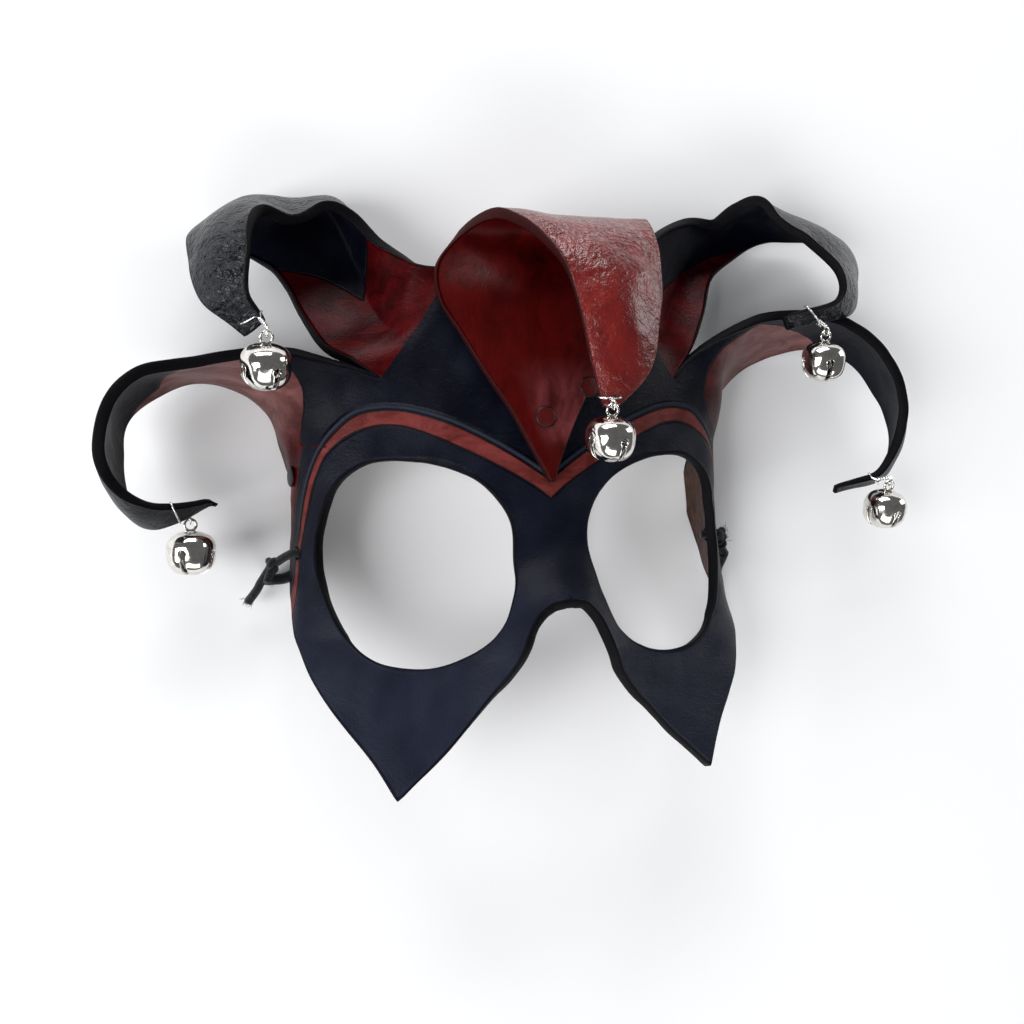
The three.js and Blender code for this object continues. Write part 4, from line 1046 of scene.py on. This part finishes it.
def makeBell(name, bell):
    # A thin shell turned about its axis, a ring on top of it, and both leaned back
    shape, centre = bellShape, np.array(bell["centre"])
    points, quads = bellShell()
    wall = np.full(len(points), shape["wall"])
    shell, faces, _ = leatherSheet(points, quads, wall, {}, shape["edgeBulge"], shape["edgeSteps"])
    circle = np.linspace(0, 2 * np.pi, shape["ringSteps"], endpoint=False)
    ringPath = around(circle, np.array([1, 0, 0]), np.array([0, 1, 0])) * shape["ringRadius"]
    ringPath = ringPath + [0, shape["halfHeight"] + shape["ringRadius"], 0]
    ring = tube(ringPath, shape["ringWire"], shape["ringSides"], closed=True)
    points, faces = joined([(turned(shell, bell["turn"], "Y"), cornersOnce(faces)), ring])
    points = turned(points, bell["lean"], "X") + centre
    piece = putMesh(name + "Bell", points, faces, finishes["nickel"])
    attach(piece, "root")
    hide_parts(name + "_bell")
    # The pellet is half a circle turned on the lathe, with its axis laid upright, low in the shell
    level = np.linspace(-0.5 * np.pi, 0.5 * np.pi, shape["pelletLevels"])
    profile = shape["pelletRadius"] * np.stack([np.cos(level), np.sin(level)], 1)
    ball, faces = lathe(profile, shape["pelletSides"])
    drop = shape["halfHeight"] - shape["wall"] - shape["pelletRadius"] - shape["pelletGap"]
    ball = ball[:, [1, 2, 0]] + centre - [0, drop, 0]
    pellet = putMesh(name + "Pellet", ball, faces, finishes["pelletSteel"])
    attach(pellet, "root")
    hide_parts(name + "_pellet")


for bellName, bell in bells.items():
    makeBell(bellName, bell)
print("Bells made")

# Bell wires: one closed wire that goes round the horn near its tip, is twisted on itself, and hooks
# round the ring of the bell
bellWire = {
    "radius": 0.26, "sides": 8, "clearance": 0.75, "squareness": 3, "smoothing": 5,
    "rootPoints": 45, "loopPoints": 72, "loopOpening": (3, 2), "loopEvery": 5,
    "twistRadius": 0.33, "twistTurns": 2.5, "twistStart": 0.25, "pointsPerTurn": 6,
    "hookRadius": 1.25, "hookOpening": 0.3, "hookPoints": 12,
}


def hornRow(bell):
    # The part of a row that the wire goes round, on the smooth and the rough side, and its directions
    name, place = bell["horn"], bell["row"]
    if name:
        horn = sideHorns[name]
        edge = {label: line for label, line, _ in faceEdge}[horn["root"]]
        root = curveThrough(edge, np.linspace(0, 1, bellWire["rootPoints"]))
        grid = hornGrid(horn, facePoint(horn["side"] * root[:, 0], root[:, 1]))[0]
        flip = -horn["side"]
    else:
        grid = centreHornGrid()[0]
        flip = 1
    middle = int(round(place * (len(grid) - 1)))
    low, high = (int(round(share * (grid.shape[1] - 1))) for share in bell["reach"])
    rows = grid[middle - 1:middle + 2, low:high + 1]
    along = unit((rows[2] - rows[0]).mean(0))
    flat = unit(rows[1, -1] - rows[1, 0])
    upright = unit(np.cross(along, flat))
    rough = rows + upright * leather["thickness"] * thinned(place) * flip
    return np.concatenate([rows, rough]).reshape(-1, 3), flat, upright


def makeWire(name, bell):
    # The loop is an ellipse squared off to the strip's section: each direction's reach is divided by the
    # power mean of its cosine and sine. Two strands twist from it to the ring, and a hook joins them.
    solid, flat, upright = hornRow(bell)
    sides = np.stack([solid @ flat, solid @ upright], 1)
    low, high = sides.min(0), sides.max(0)
    centre, middle = solid.mean(0), (low + high) / 2
    centre = centre + flat * (middle[0] - centre @ flat) + upright * (middle[1] - centre @ upright)
    half = (high - low) / 2 + bellWire["clearance"]
    angle = np.linspace(0, 2 * np.pi, bellWire["loopPoints"], endpoint=False)
    power = bellWire["squareness"]
    reach = (np.abs(np.cos(angle)) ** power + np.abs(np.sin(angle)) ** power) ** (-1 / power)
    loop = centre + around(angle, flat * half[0], upright * half[1]) * reach[:, None]
    lean = np.radians(bell["lean"])
    upwards = np.array([0, np.cos(lean), np.sin(lean)])
    forwards = np.array([0, -np.sin(lean), np.cos(lean)])
    ringTop = np.array(bell["centre"]) + (bellShape["halfHeight"] + 2 * bellShape["ringRadius"]) * upwards
    hookTop = ringTop + bellWire["hookRadius"] * upwards
    nearest = np.argmin(np.linalg.norm(loop - hookTop, axis=1))
    first, last = bellWire["loopOpening"]
    loop = np.roll(loop, -nearest, 0)[first:-last:bellWire["loopEvery"]]
    start = bellWire["twistStart"]
    twistTop = (loop[0] + loop[-1]) / 2 * (1 - start) + hookTop * start
    axis = unit(hookTop - twistTop)
    side = unit(np.cross(axis, [0.2, 0.1, 1]))  # any direction that isn't the twist's own
    other = np.cross(axis, side)
    share = np.linspace(0, 1, int(bellWire["pointsPerTurn"] * bellWire["twistTurns"]) + 1)
    turn = share * bellWire["twistTurns"] * 2 * np.pi
    spiral = around(turn, side, other) * bellWire["twistRadius"]
    line = twistTop + (hookTop - twistTop) * share[:, None]
    bend = np.linspace(bellWire["hookOpening"], 2 * np.pi - bellWire["hookOpening"], bellWire["hookPoints"])
    hook = ringTop + around(bend, upwards, forwards) * bellWire["hookRadius"]
    path = np.vstack([line + spiral, hook, (line - spiral)[::-1], loop[::-1]])
    closed = np.vstack([path[-1:], path, path[:2]])
    places = np.linspace(1, len(closed) - 2, bellWire["smoothing"] * len(path) + 1) / (len(closed) - 1)
    wire = tube(curveThrough(closed, places)[:-1], bellWire["radius"], bellWire["sides"], closed=True)
    piece = putMesh(name + "Wire", *wire, finishes["silverWire"])
    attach(piece, "root")
    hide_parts(name + "_wire")


for bellName, bell in bells.items():
    makeWire(bellName, bell)
print("Wires twisted")

# Rivets: a low head, a shank and a washer, turned about an axis out of the leather
rivetShape = {
    "profile": [(0, -4.3), (1.7, -4.3), (2, -4.1), (2, -3.6), (1.2, -3.6), (1.2, 0.1), (2.75, 0.1),
                (2.88, 0.2), (2.9, 0.4), (2.8, 0.6), (2.5, 0.72), (1.6, 0.8), (0.8, 0.84), (0, 0.85)],
    "sides": 40,
}
rivets = {
    "lower_centre": {"place": (-1.5, 18.5), "above": 3.2, "finish": "redRivet", "slot": "painted_rivet"},
    "upper_centre": {"place": (11.5, 26.5), "above": 3.2, "finish": "redRivet", "slot": "painted_rivet"},
    "left_temple": {"place": (-76, 6), "above": 0, "finish": "blackRivet", "slot": "painted_rivet"},
    "right_temple": {"place": (76, 6), "above": 0, "finish": "blackRivet", "slot": "painted_rivet"},
}


def makeRivet(name, rivet):
    # The profile's head is raised by what lies on the face, and its axis is the face's normal
    normal = faceNormal(*rivet["place"])
    middle = facePoint(*rivet["place"])
    side = unit(np.cross([0, 1, 0], normal))
    other = np.cross(normal, side)
    profile = np.array(rivetShape["profile"], float)
    profile[profile[:, 1] > 0, 1] += rivet["above"]
    points, faces = lathe(profile, rivetShape["sides"])
    outward = np.linalg.norm(points[:, :2], axis=1)
    points = middle + points @ np.stack([side, other, normal])
    piece = putMesh(name + "Rivet", points, faces, finishes[rivet["finish"]], {"outward": outward})
    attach(piece, "root")
    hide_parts(name + "_rivet")


for rivetName, rivet in rivets.items():
    makeRivet(rivetName, rivet)
print("Rivets set")

# The cord's two ends: through the hole, a knot outside, ragged cut ends and loose fibres
tieEnds = {
    "left": {"side": -1, "knot": (-70.3, -18, 8.5), "exit": (-71.5, -21.2, 5.6),
             "tails": [[(-70.3, -18, 8.5), (-73, -22, 8), (-75, -25.5, 6.5), (-76.8, -28, 4.8)],
                       [(-70.3, -18, 8.5), (-71.8, -22.4, 10.2)]]},
    "right": {"side": 1, "knot": (67.6, -17.4, 8.2), "exit": (70.2, -21.2, 5.4),
              "tails": [[(67.6, -17.4, 8.2), (68.4, -15.4, 7.4), (69.4, -14, 6.4)],
                        [(67.6, -17.4, 8.2), (67.9, -15.8, 10)]]},
}
tieShape = {
    "radius": 1.2, "sides": 10, "linePoints": 26, "wave": (4, 7, 0.15), "through": (-4.6, -2, 1.4),
    "knotScale": 0.54, "knotStretch": (1.3, 1, 1), "knotStrand": 0.85, "knotPoints": 72,
    "fibres": 110, "fibreLength": 2.6, "fibreRadius": 0.07, "fibreSides": 3, "fibreZone": 3,
    "fibreSpread": 0.55, "fibreShift": 0.6, "fibreBend": 0.35, "fibrePoints": 5, "lowest": 0.1,
}


def makeTieEnd(name, end):
    # A three-lobed knot, tubes to the hole and along the tails, and thin bent fibres round the cut ends
    shape, knot = tieShape, np.array(end["knot"])
    turn = np.linspace(0, 2 * np.pi, shape["knotPoints"], endpoint=False)
    lobes = np.stack([-np.sin(3 * turn), np.cos(turn) - 2 * np.cos(2 * turn),
                      np.sin(turn) + 2 * np.sin(2 * turn)], 1)
    lobes = lobes * shape["knotScale"] * shape["knotStretch"]
    parts = [tube(knot + lobes, shape["radius"] * shape["knotStrand"], shape["sides"], closed=True)]
    holePlace = (end["side"] * leather["cordHole"][0], leather["cordHole"][1])
    hole, normal = facePoint(*holePlace), faceNormal(*holePlace)
    through = [*(hole + normal * away for away in shape["through"]), knot]
    chance = np.random.default_rng(len(name))
    size, seed, height = shape["wave"]
    for run in [through, [knot, end["exit"]], *end["tails"]]:
        line = curveThrough(run, np.linspace(0, 1, shape["linePoints"]))
        line = line + softWaves(line, size, seed)[:, None] * height
        parts.append(tube(line, shape["radius"], shape["sides"]))
    for run in end["tails"]:
        tip, before = np.array(run[-1], float), np.array(run[-2], float)
        axis = unit(tip - before)
        for _ in range(shape["fibres"] // len(end["tails"])):
            spread = unit(axis + chance.normal(size=3) * shape["fibreSpread"])
            start = tip - axis * chance.uniform(0, shape["fibreZone"])
            start = start + np.cross(axis, chance.normal(size=3)) * shape["fibreShift"]
            length = shape["fibreLength"] * chance.uniform(0.3, 1)
            bend = chance.normal(size=3) * shape["fibreBend"]
            steps = np.linspace(0, 1, shape["fibrePoints"])[:, None]
            line = start + spread * steps * length + bend * steps ** 2
            thinning = shape["fibreRadius"] * (1.3 - steps[:, 0])
            parts.append(tube(line, thinning, shape["fibreSides"]))
    points, faces = joined(parts)
    points[:, 2] = np.maximum(points[:, 2], shape["lowest"])
    piece = putMesh(name + "TieEnd", points, faces, finishes["blackSuede"])
    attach(piece, "root")
    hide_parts(name + "_tie_end")
    return piece


tiePieces = [makeTieEnd(tieName, end) for tieName, end in tieEnds.items()]
print("Cord tied")

# A pale floor and soft studio light
studio = {
    "floorSize": 4.0, "floorColour": (0.93, 0.935, 0.95, 1), "floorRoughness": 0.9,
    "skyColour": (0.95, 0.975, 1.0, 1), "skyStrength": 0.13, "aim": (0, 0, 0.03),
    "lamps": [
        {"name": "topLamp", "place": (-0.35, 1.75, 0.7), "size": (1.6, 0.7), "power": 34},
        {"name": "leftLamp", "place": (-1.35, -0.3, 0.95), "size": (0.7, 1.1), "power": 24},
        {"name": "rightLamp", "place": (1.85, 0.7, 0.5), "size": (0.7, 1.0), "power": 10},
        {"name": "lowLamp", "place": (-0.2, -1.5, 0.95), "size": (2.2, 0.8), "power": 18},
    ],
}


def makeStudio():
    # One square of floor and rectangular lamps turned to the aim; sizes in metres
    half = studio["floorSize"] / 2
    corners = [(-half, -half, 0), (half, -half, 0), (half, half, 0), (-half, half, 0)]
    mesh = bpy.data.meshes.new("floor")
    mesh.from_pydata(corners, [], [(0, 1, 2, 3)])
    floor = bpy.data.objects.new("floor", mesh)
    bpy.context.scene.collection.objects.link(floor)
    paper = bpy.data.materials.new("palePaper")
    paper.use_nodes = True
    setInputs(paper.node_tree.nodes["Principled BSDF"],
              {"Base Color": studio["floorColour"], "Roughness": studio["floorRoughness"]})
    mesh.materials.append(paper)
    for lamp in studio["lamps"]:
        data = bpy.data.lights.new(lamp["name"], "AREA")
        data.shape, data.energy = "RECTANGLE", lamp["power"]
        data.size, data.size_y = lamp["size"]
        light = bpy.data.objects.new(lamp["name"], data)
        place = Vector(lamp["place"])
        light.location = place
        light.rotation_euler = (Vector(studio["aim"]) - place).to_track_quat("-Z", "Y").to_euler()
        bpy.context.scene.collection.objects.link(light)
    world = bpy.data.worlds.new("studioAir")
    world.use_nodes = True
    setInputs(world.node_tree.nodes["Background"],
              {"Color": studio["skyColour"], "Strength": studio["skyStrength"]})
    bpy.context.scene.world = world
    bpy.context.scene.view_settings.view_transform = "Standard"


makeStudio()
print("Studio lit")
